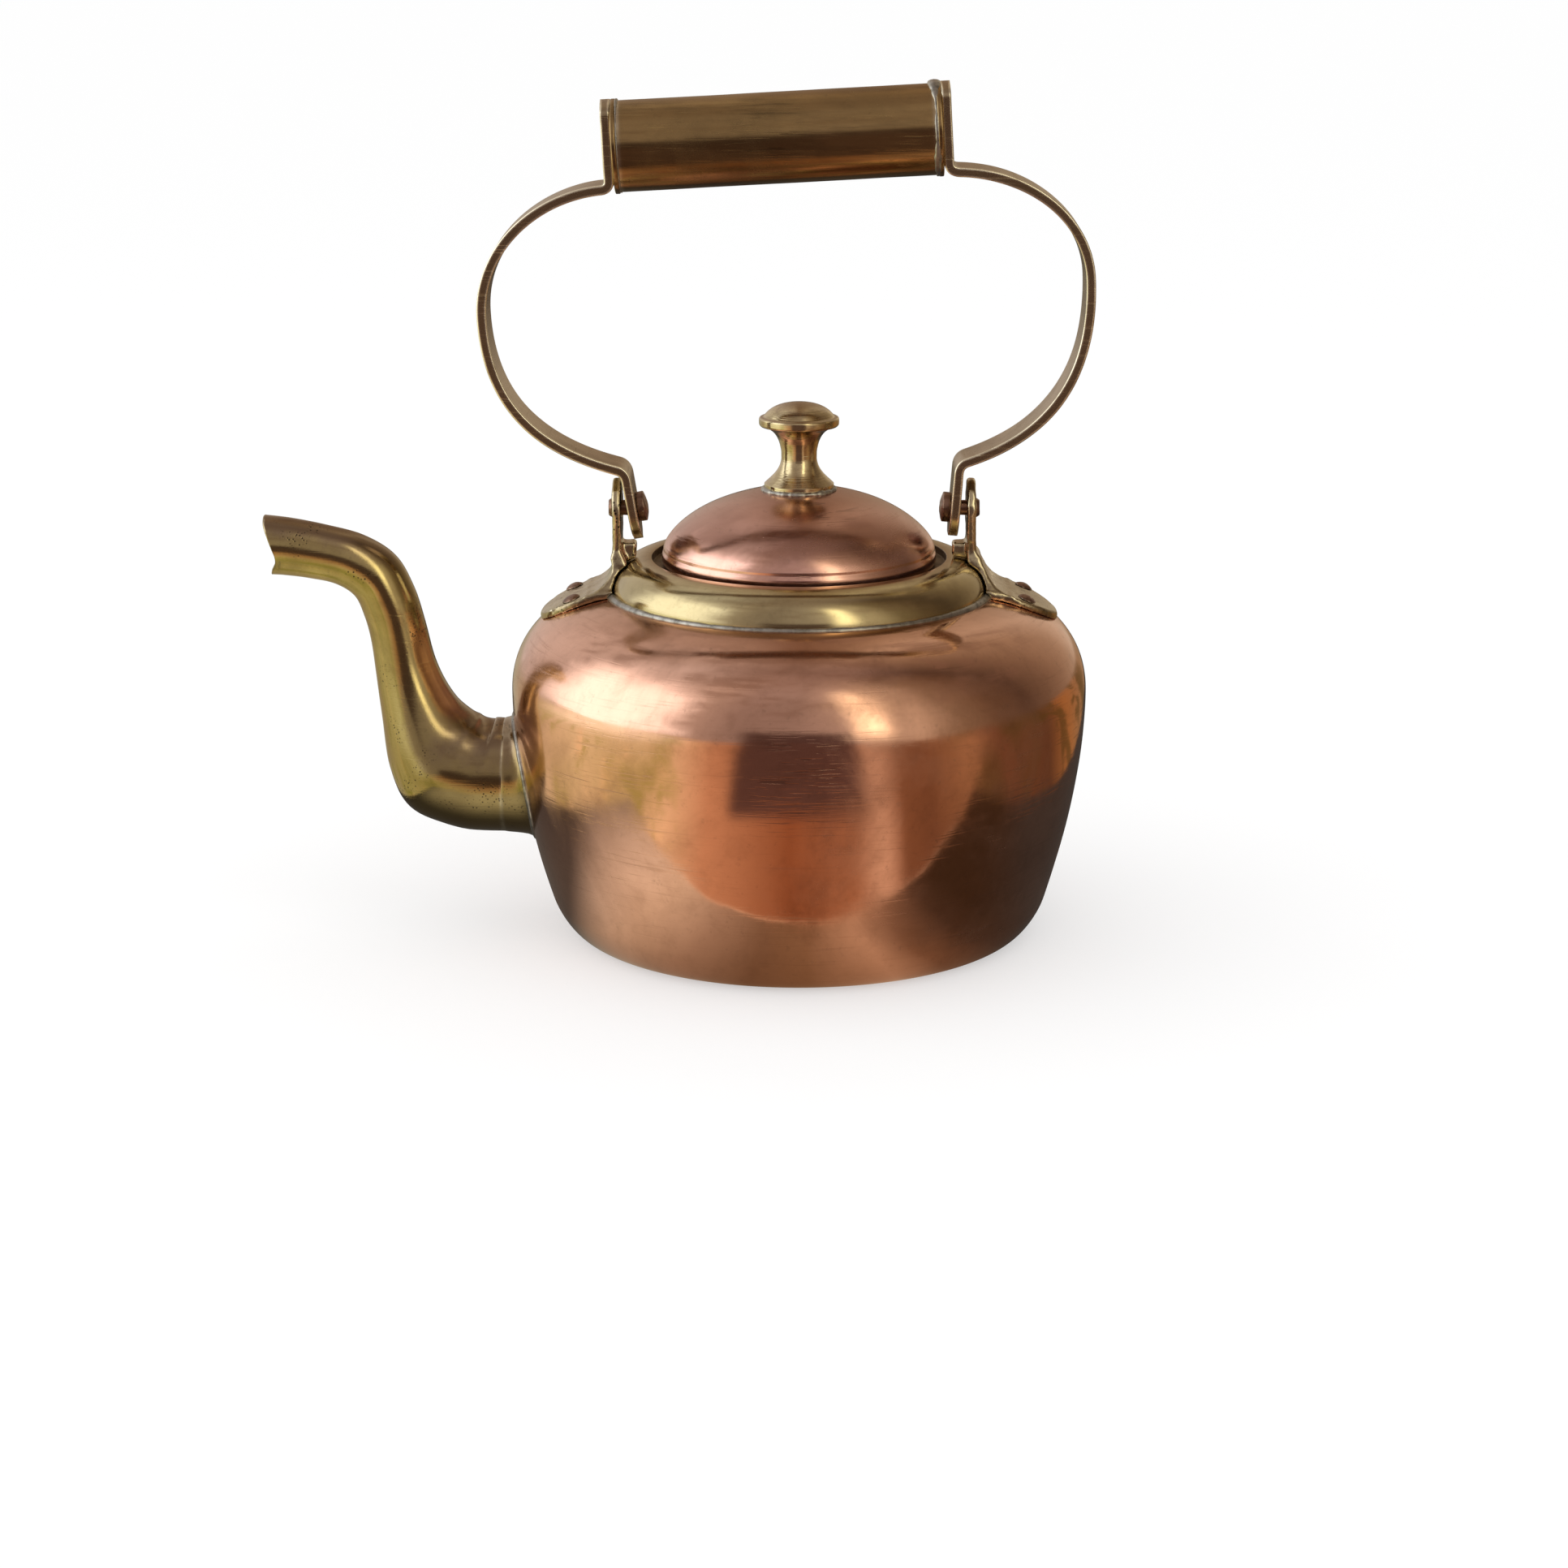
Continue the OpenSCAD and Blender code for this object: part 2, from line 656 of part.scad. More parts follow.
// The rivet is tight in the tab, and its shank turns in the bracket's eye
tail_gap = 0.2;
tail_h = 1.2;
tail_r = 3.3;
function tab_run(hand) = leaned(knee, hand) - leaned(tab_tip, hand);
function tab_at_pivot(hand) =
    let (tip = leaned(tab_tip, hand))
    tip + (pivot_z - tip[1]) / tab_run(hand)[1] * tab_run(hand);

module pivot_rivet(hand) {
    spot = tab_at_pivot(hand);
    tilt = atan2(tab_run(hand)[0], tab_run(hand)[1]);
    head_h = 3.4;
    eye_face = hand * eye_outer - eye_sway;
    tail_x = abs(eye_face) + tail_gap;
    from_x = abs(spot[0]) - bar_t / 2 - 0.4;
    color(copper) {
        turn_hand(hand) translate([from_x, 0, pivot_z]) rotate([0, 90, 0])
            cylinder(r = pivot_rivet_r, h = tail_x + tail_h / 2 - from_x);
        turn_hand(hand) translate([tail_x, 0, pivot_z]) rotate([0, 90, 0])
            cylinder(r1 = tail_r, r2 = tail_r - 0.8, h = tail_h);
        translate([spot[0], 0, spot[1]]) rotate([0, tilt, 0]) rotate([0, -hand * 90, 0])
            translate([0, 0, bar_t / 2]) {
                cylinder(r = pivot_head_r, h = head_h * 0.7);
                translate([0, 0, head_h * 0.7]) dome_head(pivot_head_r, head_h * 0.3);
            }
    }
}

module bracket_left() { bracket(LEFT); }
module bracket_right() { bracket(RIGHT); }
module bracket_rivets_left() { bracket_rivets(LEFT); }
module bracket_rivets_right() { bracket_rivets(RIGHT); }
module strap_left() { strap(LEFT); }
module strap_right() { strap(RIGHT); }
module pivot_rivet_left() { pivot_rivet(LEFT); }
module pivot_rivet_right() { pivot_rivet(RIGHT); }
module grip_end_left() { grip_end(LEFT); }
module grip_end_right() { grip_end(RIGHT); }
module grip_solder_left() { grip_solder(LEFT, 1.6); }
module grip_solder_right() { grip_solder(RIGHT, 3); }

body_shell();
base_plate();
base_braze();
collar();
collar_solder();
spout_foot();
spout();
spout_solder();
bracket_left();
bracket_right();
bracket_rivets_left();
bracket_rivets_right();
lid_dome();
lid_band();
lid_knob();
knob_solder();
knob_burr();
strap_left();
strap_right();
pivot_rivet_left();
pivot_rivet_right();
grip_tube();
grip_end_left();
grip_end_right();
grip_solder_left();
grip_solder_right();
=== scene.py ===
"""Looks of a copper kettle, built round its fixed frame: metres, +Z up, the spout towards -X."""

from math import cos, pi, radians, sin, sqrt, tan

import bmesh
import bpy
from bpy.props import FloatProperty, FloatVectorProperty, PointerProperty
from mathutils import Matrix, Vector, noise


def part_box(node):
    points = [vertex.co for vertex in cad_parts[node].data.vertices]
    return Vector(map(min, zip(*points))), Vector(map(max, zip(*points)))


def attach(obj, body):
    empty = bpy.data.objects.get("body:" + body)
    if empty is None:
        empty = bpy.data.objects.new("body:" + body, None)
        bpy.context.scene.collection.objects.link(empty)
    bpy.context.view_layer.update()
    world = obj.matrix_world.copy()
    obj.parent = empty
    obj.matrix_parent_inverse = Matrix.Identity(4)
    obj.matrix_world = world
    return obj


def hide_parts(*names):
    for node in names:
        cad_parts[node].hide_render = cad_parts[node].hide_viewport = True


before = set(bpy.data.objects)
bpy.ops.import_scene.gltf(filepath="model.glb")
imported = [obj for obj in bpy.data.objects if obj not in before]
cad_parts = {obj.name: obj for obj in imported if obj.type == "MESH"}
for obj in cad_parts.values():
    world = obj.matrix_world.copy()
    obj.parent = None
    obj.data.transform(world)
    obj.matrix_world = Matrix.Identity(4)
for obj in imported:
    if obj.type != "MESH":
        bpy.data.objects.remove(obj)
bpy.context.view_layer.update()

bl_info = {
    "name": "Copper kettle",
    "version": (1, 0, 0),
    "blender": (4, 5, 0),
    "location": "View3D > Sidebar > Kettle",
    "description": "Builds the metal pieces of a copper kettle and its stage",
    "category": "Object",
}

MM = 0.001
TURN = 2 * pi
LEFT, RIGHT = -1, 1


def reach(node, axis):
    """Highest coordinate of a node of the frame along an axis."""
    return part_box(node)[1][axis]


def width(node, axis):
    low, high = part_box(node)
    return high[axis] - low[axis]


def middle(node):
    low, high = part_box(node)
    return (low + high) / 2


# ---- Sizes and colours that a user would change ----


def distance(name, description, default):
    return FloatProperty(
        name=name, description=description, default=default, min=0, precision=5, unit="LENGTH",
        subtype="DISTANCE",
    )


def colour(name, description, default):
    return FloatVectorProperty(
        name=name, description=description, default=default, size=3, min=0, max=1, subtype="COLOR"
    )


class KettleSizes(bpy.types.PropertyGroup):
    """Sizes of the kettle's pieces"""

    belly_r: distance("Belly radius", "Largest radius of the body", reach("body_shell", 0))
    belly_z: distance("Belly height", "Height of the widest line of the belly", 82 * MM)
    base_r: distance("Base radius", "Radius of the flat base", reach("base_braze", 0))
    heel_z: distance("Heel height", "Height of the rounded bottom corner", 12 * MM)
    seam_z: distance("Seam height", "Height at which the shoulder meets the collar", 114 * MM)
    seam_r: distance("Seam radius", "Radius of the collar where it meets the shoulder", 62.2 * MM)
    sheet: distance("Sheet", "Thickness of the copper sheet", 1.2 * MM)
    rim_r: distance("Rim radius", "Outer radius of the collar's rim", 49.8 * MM)
    collar_t: distance("Collar sheet", "Thickness of the collar", 1.2 * MM)
    lid_t: distance("Lid sheet", "Thickness of the lid", 1.1 * MM)
    lid_wall: distance("Lid wall", "Height of the lid's upright wall", 5 * MM)
    knob_waist: distance("Knob waist", "Radius of the knob's waist", 5.8 * MM)
    spout_z: distance("Spout root height", "Height of the spout's root", 50.8 * MM)
    spout_root_r: distance("Spout root radius", "Radius of the spout's root", 18.9 * MM)
    spout_neck_r: distance("Spout neck radius", "Radius of the spout's neck and mouth", 9.5 * MM)
    foot_band: distance("Spout foot", "Length of the foot band beyond the belly", 3 * MM)
    spout_reach: distance("Spout reach", "How far the spout reaches beyond its foot", 78.5 * MM)
    spout_rise: distance("Spout rise", "How far the mouth stands above the root", 78.4 * MM)
    spout_t: distance("Spout wall", "Thickness of the spout's wall", 1.6 * MM)
    bar_w: distance("Bar width", "Width of the handle's bar", width("strap_left", 1))
    bar_t: distance("Bar thickness", "Thickness of the handle's bar", 3.2 * MM)
    bow_out: distance("Bow", "How far the bows stand out beyond the knees", 44.2 * MM)
    bow_tuck: distance("Left bow", "How much less the left bow stands out", 1 * MM)
    bow_h: distance("Bow height", "Height of the left bow's widest point above the pivot", 67.5 * MM)
    bow_lift: distance("Right bow", "How much higher the right bow's widest point is", 4.4 * MM)
    knee_h: distance("Knee height", "Height of the knees above the pivot", 14.4 * MM)
    grip_l: distance("Grip length", "Length of the tubular grip", 102.4 * MM)
    grip_r: distance("Grip radius", "Radius of the tubular grip", width("grip_tube", 1) / 2)
    grip_t: distance("Grip sheet", "Thickness of the grip's sheet", 1 * MM)
    lean: FloatProperty(
        name="Lean", description="Sideways lean of the handle", default=radians(3.1), unit="ROTATION",
        subtype="ANGLE",
    )


class KettleFinishes(bpy.types.PropertyGroup):
    """Colours of the kettle's metals"""

    copper: colour("Copper", "Polished copper of the body", (0.88, 0.50, 0.36))
    lid_copper: colour("Lid copper", "Pinker copper of the lid", (0.90, 0.52, 0.42))
    copper_tarnish: colour("Copper tarnish", "Brown tarnish on copper", (0.40, 0.20, 0.125))
    rivet: colour("Rivet copper", "Dark copper of the rivets", (0.30, 0.175, 0.125))
    cast_brass: colour("Cast brass", "Brass of the spout", (0.50, 0.385, 0.17))
    bracket_brass: colour("Bracket brass", "Paler cast brass of the brackets", (0.66, 0.56, 0.37))
    sheet_brass: colour("Sheet brass", "Brass of the collar", (0.56, 0.45, 0.25))
    bar_brass: colour("Bar brass", "Brass of the handle's bars", (0.46, 0.35, 0.22))
    knob_brass: colour("Knob brass", "Turned brass of the knob", (0.70, 0.56, 0.33))
    grip_brass: colour("Grip brass", "Handled brass of the grip", (0.42, 0.275, 0.12))
    # Also the colour of the painted shade under the spout and in the collar's gutter
    brass_tarnish_and_shade: colour("Brass tarnish", "Brown tarnish on brass", (0.20, 0.13, 0.06))
    bright: colour("Worn edge", "Bright metal on worn edges", (0.95, 0.86, 0.66))
    solder: colour("Solder", "Dull grey solder", (0.40, 0.375, 0.345))
    tin: colour("Tin", "Dull tinned lining", (0.55, 0.54, 0.50))
    grime: colour("Grime", "Dirt in the corners", (0.030, 0.022, 0.015))


# ---- Node helpers and the shared effects ----


class Board:
    """A node tree with short ways to add and link its nodes."""

    def __init__(self, tree):
        self.tree = tree

    def add(self, kind, inputs=None, **settings):
        made = self.tree.nodes.new("ShaderNode" + kind)
        for key, value in settings.items():
            setattr(made, key, value)
        for key, value in (inputs or {}).items():
            self.join(value, made.inputs[key])
        return made

    def join(self, value, socket):
        if isinstance(value, bpy.types.NodeSocket):
            self.tree.links.new(value, socket)
        else:
            socket.default_value = value

    def sum(self, kind, a, b=0.0, clamp=False):
        return self.add("Math", {0: a, 1: b}, operation=kind, use_clamp=clamp).outputs[0]

    def band(self, value, low, high, least=0.0, most=1.0):
        inputs = {"Value": value, "From Min": low, "From Max": high, "To Min": least, "To Max": most}
        return self.add("MapRange", inputs, interpolation_type="SMOOTHSTEP").outputs[0]

    def share(self, value, low, high):
        return self.add("MapRange", {"Value": value, "From Min": low, "From Max": high}).outputs[0]

    def mix(self, share, a, b):
        made = self.add("Mix", {0: share}, data_type="RGBA", clamp_factor=True)
        self.join(a, made.inputs[6])
        self.join(b, made.inputs[7])
        return made.outputs[2]

    def noise(self, vector, scale, detail=4.0, rough=0.55, distortion=0.0):
        inputs = {"Vector": vector, "Scale": scale, "Detail": detail, "Roughness": rough, "Distortion": distortion}
        return self.add("TexNoise", inputs).outputs["Fac"]

    def place(self):
        return self.add("TexCoord").outputs["Object"]


def rgba(value):
    return (*value, 1.0)


def effect(name, inputs, outputs):
    """A shader node group, and the board and input node to build it with."""
    tree = bpy.data.node_groups.new(name, "ShaderNodeTree")
    kinds = {"f": "NodeSocketFloat", "c": "NodeSocketColor", "v": "NodeSocketVector"}
    for label, kind, default in inputs:
        socket = tree.interface.new_socket(label, in_out="INPUT", socket_type=kinds[kind])
        socket.default_value = default
    for label, kind in outputs:
        tree.interface.new_socket(label, in_out="OUTPUT", socket_type=kinds[kind])
    board = Board(tree)
    return board, tree.nodes.new("NodeGroupInput").outputs, tree.nodes.new("NodeGroupOutput").inputs


def cover_effect(name, over, values):
    """An effect that covers a metal with another colour, and a function that ends it with its mask."""
    white = (1, 1, 1, 1)
    inputs = [("Metal", "c", white), (over, "c", white)] + [(label, "f", default) for label, default in values]
    b, i, o = effect(name, inputs, [("Color", "c"), ("Mask", "f")])

    def end(mask):
        b.join(mask, o["Mask"])
        b.join(b.mix(mask, i["Metal"], i[over]), o["Color"])

    return b, i, end


def make_effects():
    """The effects that the metals share: patina, marks, wear, dirt, stains, painted shade, unevenness, haze and
    turning lines.
    """
    b, i, end = cover_effect("Patina", "Tarnish", [("Scale", 30.0), ("Amount", 0.5)])
    at = b.place()
    clouds = b.band(b.noise(at, i["Scale"], 5.0, 0.62, 0.8), 0.40, 0.70)
    fine = b.band(b.noise(at, b.sum("MULTIPLY", i["Scale"], 6.3), 4.0, 0.7, 0.3), 0.46, 0.72)
    both = b.sum("ADD", b.sum("MULTIPLY", clouds, 0.72), b.sum("MULTIPLY", fine, 0.28))
    end(b.sum("MULTIPLY", both, i["Amount"]))

    b, i, o = effect(
        "Wiping marks", [("Scale", "f", 900.0), ("Spread", "f", 1.0)], [("Height", "f"), ("Dulling", "f")]
    )
    at = b.place()
    lines = None
    for turn in ((0.2, 0.5, 0.1), (1.1, 0.3, 0.7), (0.4, 1.3, 2.2), (1.9, 0.8, 1.5)):
        turned_at = b.add("Mapping", {"Vector": at, "Rotation": turn, "Scale": (0.035, 0.035, 1.0)}).outputs[0]
        streak = b.band(b.noise(turned_at, i["Scale"], 3.0, 0.6), 0.60, 0.74)
        lines = streak if lines is None else b.sum("MAXIMUM", lines, streak)
    where = b.band(b.noise(at, b.sum("MULTIPLY", i["Spread"], 22.0), 3.0), 0.38, 0.66, 0.25, 1.0)
    lines = b.sum("MULTIPLY", lines, where)
    b.join(b.sum("MULTIPLY", lines, -1.0), o["Height"])
    b.join(lines, o["Dulling"])

    b, i, end = cover_effect("Worn edges", "Bright", [("Amount", 0.5)])
    edge = b.band(b.add("NewGeometry").outputs["Pointiness"], 0.515, 0.58)
    patchy = b.band(b.noise(b.place(), 260.0, 3.0), 0.30, 0.60, 0.45, 1.0)
    end(b.sum("MULTIPLY", b.sum("MULTIPLY", edge, patchy), i["Amount"], True))

    b, i, end = cover_effect("Grime", "Dirt", [("Amount", 0.5)])
    hollow = b.band(b.add("NewGeometry").outputs["Pointiness"], 0.40, 0.49, 1.0, 0.0)
    spots = b.band(b.noise(b.place(), 420.0, 5.0, 0.7), 0.58, 0.72, 0.0, 0.5)
    end(b.sum("MULTIPLY", b.sum("MAXIMUM", hollow, spots), i["Amount"], True))

    b, i, o = effect("Casting skin", [("Scale", "f", 600.0), ("Pits", "f", 0.3)], [("Height", "f"), ("Pits", "f")])
    at = b.place()
    cells = b.add("TexVoronoi", {"Vector": at, "Scale": i["Scale"]}).outputs["Distance"]
    where = b.band(b.noise(at, 70.0, 2.0), 0.56, 0.66)
    pits = b.sum("MULTIPLY", b.sum("MULTIPLY", b.band(cells, 0.16, 0.34, 1.0, 0.0), where), i["Pits"])
    grain = b.noise(at, b.sum("MULTIPLY", i["Scale"], 1.7), 4.0, 0.6)
    b.join(b.sum("SUBTRACT", b.sum("MULTIPLY", grain, 0.35), pits), o["Height"])
    b.join(pits, o["Pits"])

    b, i, o = effect(
        "Scuff",
        [("Centre", "v", (0, 0, 0)), ("Radius", "f", 0.01), ("Turn", "v", (0, 0, 0)), ("Fineness", "f", 900.0)],
        [("Mask", "f")],
    )
    at = b.place()
    away = b.add("VectorMath", {0: at, 1: i["Centre"]}, operation="DISTANCE").outputs["Value"]
    near = b.band(b.sum("DIVIDE", away, i["Radius"]), 0.45, 1.0, 1.0, 0.0)
    turned_at = b.add("Mapping", {"Vector": at, "Rotation": i["Turn"], "Scale": (0.05, 0.05, 1.0)}).outputs[0]
    lines = b.band(b.noise(turned_at, i["Fineness"], 2.0, 0.5, 0.4), 0.57, 0.63)
    b.join(b.sum("MULTIPLY", near, lines), o["Mask"])

    # Darker between two heights, with a cloudy edge: painted shade on the spout's underside, a darkening by height
    # elsewhere
    b, i, end = cover_effect("Height stain and shade", "Stain", [("From", 0.05), ("To", 0.04), ("Strength", 0.5)])
    at = b.place()
    cloud = b.sum("MULTIPLY", b.noise(at, 45.0, 4.0), 0.012)
    up = b.sum("ADD", b.add("SeparateXYZ", {0: at}).outputs["Z"], cloud)
    end(b.band(up, i["From"], i["To"], 0.0, i["Strength"]))

    # Painted shade: faces that turn upwards are darkened, with cloudy edges
    values = [("From", 0.3), ("To", 0.8), ("Strength", 0.5), ("Scale", 60.0)]
    b, i, end = cover_effect("Topside shade", "Stain", values)
    facing = b.add("SeparateXYZ", {0: b.add("TexCoord").outputs["Normal"]}).outputs["Z"]
    cloud = b.sum("MULTIPLY", b.sum("SUBTRACT", b.noise(b.place(), i["Scale"], 5.0, 0.65), 0.5), 0.9)
    end(b.band(b.sum("ADD", facing, cloud), i["From"], i["To"], 0.0, i["Strength"]))

    b, i, o = effect("Sheet waves", [("Scale", "f", 38.0), ("Ripple", "f", 0.1)], [("Height", "f")])
    at = b.place()
    ripple = b.sum("MULTIPLY", b.noise(at, b.sum("MULTIPLY", i["Scale"], 3.6), 3.0, 0.5), i["Ripple"])
    b.join(b.sum("ADD", b.noise(at, i["Scale"], 2.0, 0.4), ripple), o["Height"])

    b, i, o = effect("Haze", [("Scale", "f", 26.0)], [("Mask", "f")])
    b.join(b.band(b.noise(b.place(), i["Scale"], 6.0, 0.68, 0.6), 0.44, 0.66), o["Mask"])

    b, i, o = effect("Turning lines", [("Fineness", "f", 1400.0)], [("Height", "f")])
    parts = b.add("SeparateXYZ", {0: b.place()}).outputs
    out = b.sum("SQRT", b.sum("ADD", b.sum("POWER", parts["X"], 2.0), b.sum("POWER", parts["Y"], 2.0)))
    line_at = b.add("CombineXYZ", {"X": out, "Z": parts["Z"]}).outputs[0]
    b.join(b.noise(line_at, i["Fineness"], 2.0, 0.6), o["Height"])


FINISHES = {}


def metal(name, base, tarnish, rough=0.2, patina=(30.0, 0.5), marks=(900.0, 0.3), wear=0.5, grime=0.4,
          skin=None, turning=0.0, scuffs=(), wavy=0.0, heights=(), topside=None, streaks=None, lines=0.0, haze=0.0,
          ripple=0.06, scored=0.0):
    """A metal made of the shared effects, each with this metal's own values.

    patina is (scale, amount), marks is (fineness, depth), skin is (scale, pits, depth), a scuff is (centre, radius,
    turn, fineness, strength), heights holds (from, to, strength) of a darkening by height, painted shade on the spout,
    topside is (from, to, strength, stain, scale), where stain is the colour of painted shade on upward faces, and
    streaks is (stretch, fineness, strength).
    """
    made = bpy.data.materials.new(name)
    made.use_nodes = True
    tree = made.node_tree
    tree.nodes.clear()
    b = Board(tree)
    finishes = bpy.context.scene.kettle_finishes

    def group(label, **values):
        return b.add("Group", values, node_tree=bpy.data.node_groups[label]).outputs

    old = group("Patina", Metal=rgba(base), Tarnish=rgba(tarnish), Scale=patina[0], Amount=patina[1])
    shade, dull = old["Color"], old["Mask"]
    at = b.place()
    # Darker between the given heights; on the spout this is painted shade on its underside
    for low, high, strength in heights:
        shade = group("Height stain and shade", Metal=shade, Stain=rgba(tarnish), From=low, To=high,
                      Strength=strength)["Color"]
    # Painted shade on faces that turn upwards; stain is the colour of this shade
    if topside:
        low, high, strength, stain, fineness = topside
        shade = group("Topside shade", Metal=shade, Stain=rgba(stain), From=low, To=high, Strength=strength,
                      Scale=fineness)["Color"]
    if streaks:
        stretch, fineness, strength = streaks
        drawn_at = b.add("Mapping", {"Vector": at, "Rotation": (0, radians(3.1), 0), "Scale": stretch}).outputs[0]
        drawn = b.band(b.noise(drawn_at, fineness, 5.0, 0.6, 0.2), 0.42, 0.66, 0.0, strength)
        shade = b.mix(drawn, shade, rgba(tarnish))
    wiped = group("Wiping marks", Scale=marks[0])
    height = b.sum("MULTIPLY", wiped["Height"], marks[1])
    if scored:
        shade = b.mix(b.sum("MULTIPLY", wiped["Dulling"], scored), shade, rgba(tarnish))
    for centre, radius, turn, fineness, strength in scuffs:
        scuff = group("Scuff", Centre=centre, Radius=radius, Turn=turn, Fineness=fineness)["Mask"]
        shade = b.mix(b.sum("MULTIPLY", scuff, strength), shade, rgba(finishes.grime))
        height = b.sum("SUBTRACT", height, b.sum("MULTIPLY", scuff, 1.5 * strength))
    if skin:
        cast = group("Casting skin", Scale=skin[0], Pits=skin[1])
        height = b.sum("ADD", height, b.sum("MULTIPLY", cast["Height"], skin[2]))
        shade = b.mix(b.sum("MULTIPLY", cast["Pits"], 1.6, True), shade, rgba(finishes.grime))
    if turning:
        height = b.sum("ADD", height, b.sum("MULTIPLY", group("Turning lines")["Height"], turning))
    if wavy:
        height = b.sum("ADD", height, b.sum("MULTIPLY", group("Sheet waves", Ripple=ripple)["Height"], wavy))
    dirty = group("Grime", Metal=shade, Dirt=rgba(finishes.grime), Amount=grime)
    worn = group("Worn edges", Metal=dirty["Color"], Bright=rgba(finishes.bright), Amount=wear)
    shade = worn["Color"]
    if lines:
        rubbed = b.band(b.noise(at, 130.0, 4.0), 0.28, 0.55, 0.35, 1.0)
        line = b.sum("MULTIPLY", b.add("Attribute", attribute_name="Worn").outputs["Fac"], rubbed)
        shade = b.mix(b.sum("MULTIPLY", line, lines), shade, rgba(finishes.bright))
    spread = b.sum("ADD", rough, b.sum("MULTIPLY", dull, 0.12))
    spread = b.sum("ADD", spread, b.sum("MULTIPLY", wiped["Dulling"], 0.16 * marks[1] + 0.03))
    spread = b.sum("ADD", spread, b.sum("MULTIPLY", dirty["Mask"], 0.35))
    if haze:
        spread = b.sum("ADD", spread, b.sum("MULTIPLY", group("Haze")["Mask"], haze))
    bump = b.add("Bump", {"Strength": 0.8, "Distance": 0.00005, "Height": height})
    shader = b.add("BsdfPrincipled", {"Base Color": shade, "Metallic": 1.0, "Roughness": spread,
                                      "Normal": bump.outputs[0]})
    end = b.add("OutputMaterial")
    tree.links.new(shader.outputs[0], end.inputs["Surface"])
    FINISHES[name] = made
    return made


def make_finishes():
    f = bpy.context.scene.kettle_finishes
    brown, dark = f.copper_tarnish, f.brass_tarnish_and_shade
    shoulder_scuff = [((0.040, -0.052, 0.1125), 0.011, (0.5, 0.9, 0.2), 700.0, 0.8),
                      ((0.0, -0.094, 0.075), 0.02, (0.2, 1.2, 0.4), 1500.0, 0.25)]
    # heights: the body is darker towards the base and towards the collar
    metal("Copper_body", f.copper, brown, 0.085, (17.0, 0.62), (800.0, 0.42), 0.1, 0.30, wavy=2.6, haze=0.12,
          ripple=0.20, scored=0.28,
          scuffs=shoulder_scuff, heights=[(0.034, 0.002, 0.55), (0.106, 0.120, 0.35)])
    # topside: painted shade darkens the lid's upward faces
    metal("Copper_lid", f.lid_copper, brown, 0.15, (26.0, 0.48), (1000.0, 0.5), 0.15, 0.3, wavy=1.7, haze=0.10,
          ripple=0.22, scored=0.25, topside=(0.42, 0.80, 0.75, (0.44, 0.225, 0.165), 38.0),
          scuffs=[((0.001, -0.0447, 0.127), 0.0035, (0.0, 1.57, 0.0), 1300.0, 0.35),
                  ((0.010, -0.020, 0.146), 0.014, (0.6, 0.2, 0.9), 1500.0, 0.25)])
    metal("Copper_base", f.copper, brown, 0.34, (40.0, 0.8), (700.0, 0.6), 0.2, 0.5)
    metal("Copper_rivet", f.rivet, f.grime, 0.30, (300.0, 0.5), (1500.0, 0.5), 0.55, 0.5, skin=(1500.0, 0.3, 1.6))
    # heights: painted shade, darker lower down on the spout's underside and root; topside: painted shade on its upper
    # faces
    metal("Brass_spout", f.cast_brass, dark, 0.13, (24.0, 0.55), (900.0, 0.35), 0.25, 0.35, skin=(900.0, 0.55, 1.2),
          wavy=1.2, ripple=0.15, heights=[(0.120, 0.062, 0.34), (0.054, 0.036, 0.85)],
          topside=(0.25, 0.75, 0.85, (0.30, 0.21, 0.14), 60.0))
    metal("Brass_cast", f.cast_brass, dark, 0.26, (90.0, 0.55), (1100.0, 0.5), 0.9, 0.8, skin=(800.0, 0.6, 2.6))
    # heights: darker towards the bracket's lower part
    metal("Brass_bracket", f.bracket_brass, dark, 0.19, (110.0, 0.55), (1100.0, 0.4), 1.2, 1.0, skin=(700.0, 0.6, 1.1),
          wavy=3.0, heights=[(0.131, 0.121, 0.35)])
    # The collar's gutter under the lid: grime and painted shade between collar and lid
    metal("Brass_gutter_grime_and_shade", dark, f.grime, 0.42, (60.0, 0.8), (1100.0, 0.4), 0.3, 0.9)
    metal("Brass_collar", f.sheet_brass, dark, 0.15, (40.0, 0.45), (1100.0, 0.45), 0.5, 0.35, wavy=1.2)
    metal("Brass_bar", f.bar_brass, dark, 0.24, (55.0, 0.6), (1000.0, 0.8), 0.4, 0.3, wavy=0.8, lines=0.95)
    # topside: painted shade darkens the knob's top
    metal("Brass_knob", f.knob_brass, dark, 0.14, (120.0, 0.5), (1500.0, 0.3), 0.6, 0.6, turning=2.2,
          topside=(0.70, 0.95, 0.55, (0.34, 0.24, 0.17), 160.0))
    metal("Brass_grip", f.grip_brass, dark, 0.17, (30.0, 0.55), (1000.0, 0.6), 0.5, 0.4, wavy=1.0,
          streaks=((0.12, 1.0, 1.0), 160.0, 0.6), haze=0.08,
          scuffs=[((-0.010, -0.0135, 0.266), 0.016, (0.9, 0.9, 0.2), 1200.0, 0.3)])
    metal("Solder_grey", f.solder, f.grime, 0.34, (220.0, 0.75), (1500.0, 0.3), 0.4, 0.9, skin=(900.0, 0.6, 2.4))
    metal("Tin_lining", f.tin, f.grime, 0.45, (50.0, 0.6), (900.0, 0.5), 0.1, 0.2)


# ---- Mesh helpers ----


def link(mesh, name, finish, body, nodes, sharp):
    mesh.shade_smooth()
    mesh.set_sharp_from_angle(angle=radians(sharp))
    mesh.materials.append(FINISHES[finish])
    made = bpy.data.objects.new(name, mesh)
    bpy.context.scene.collection.objects.link(made)
    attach(made, body)
    if nodes:
        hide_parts(*nodes)
    return made


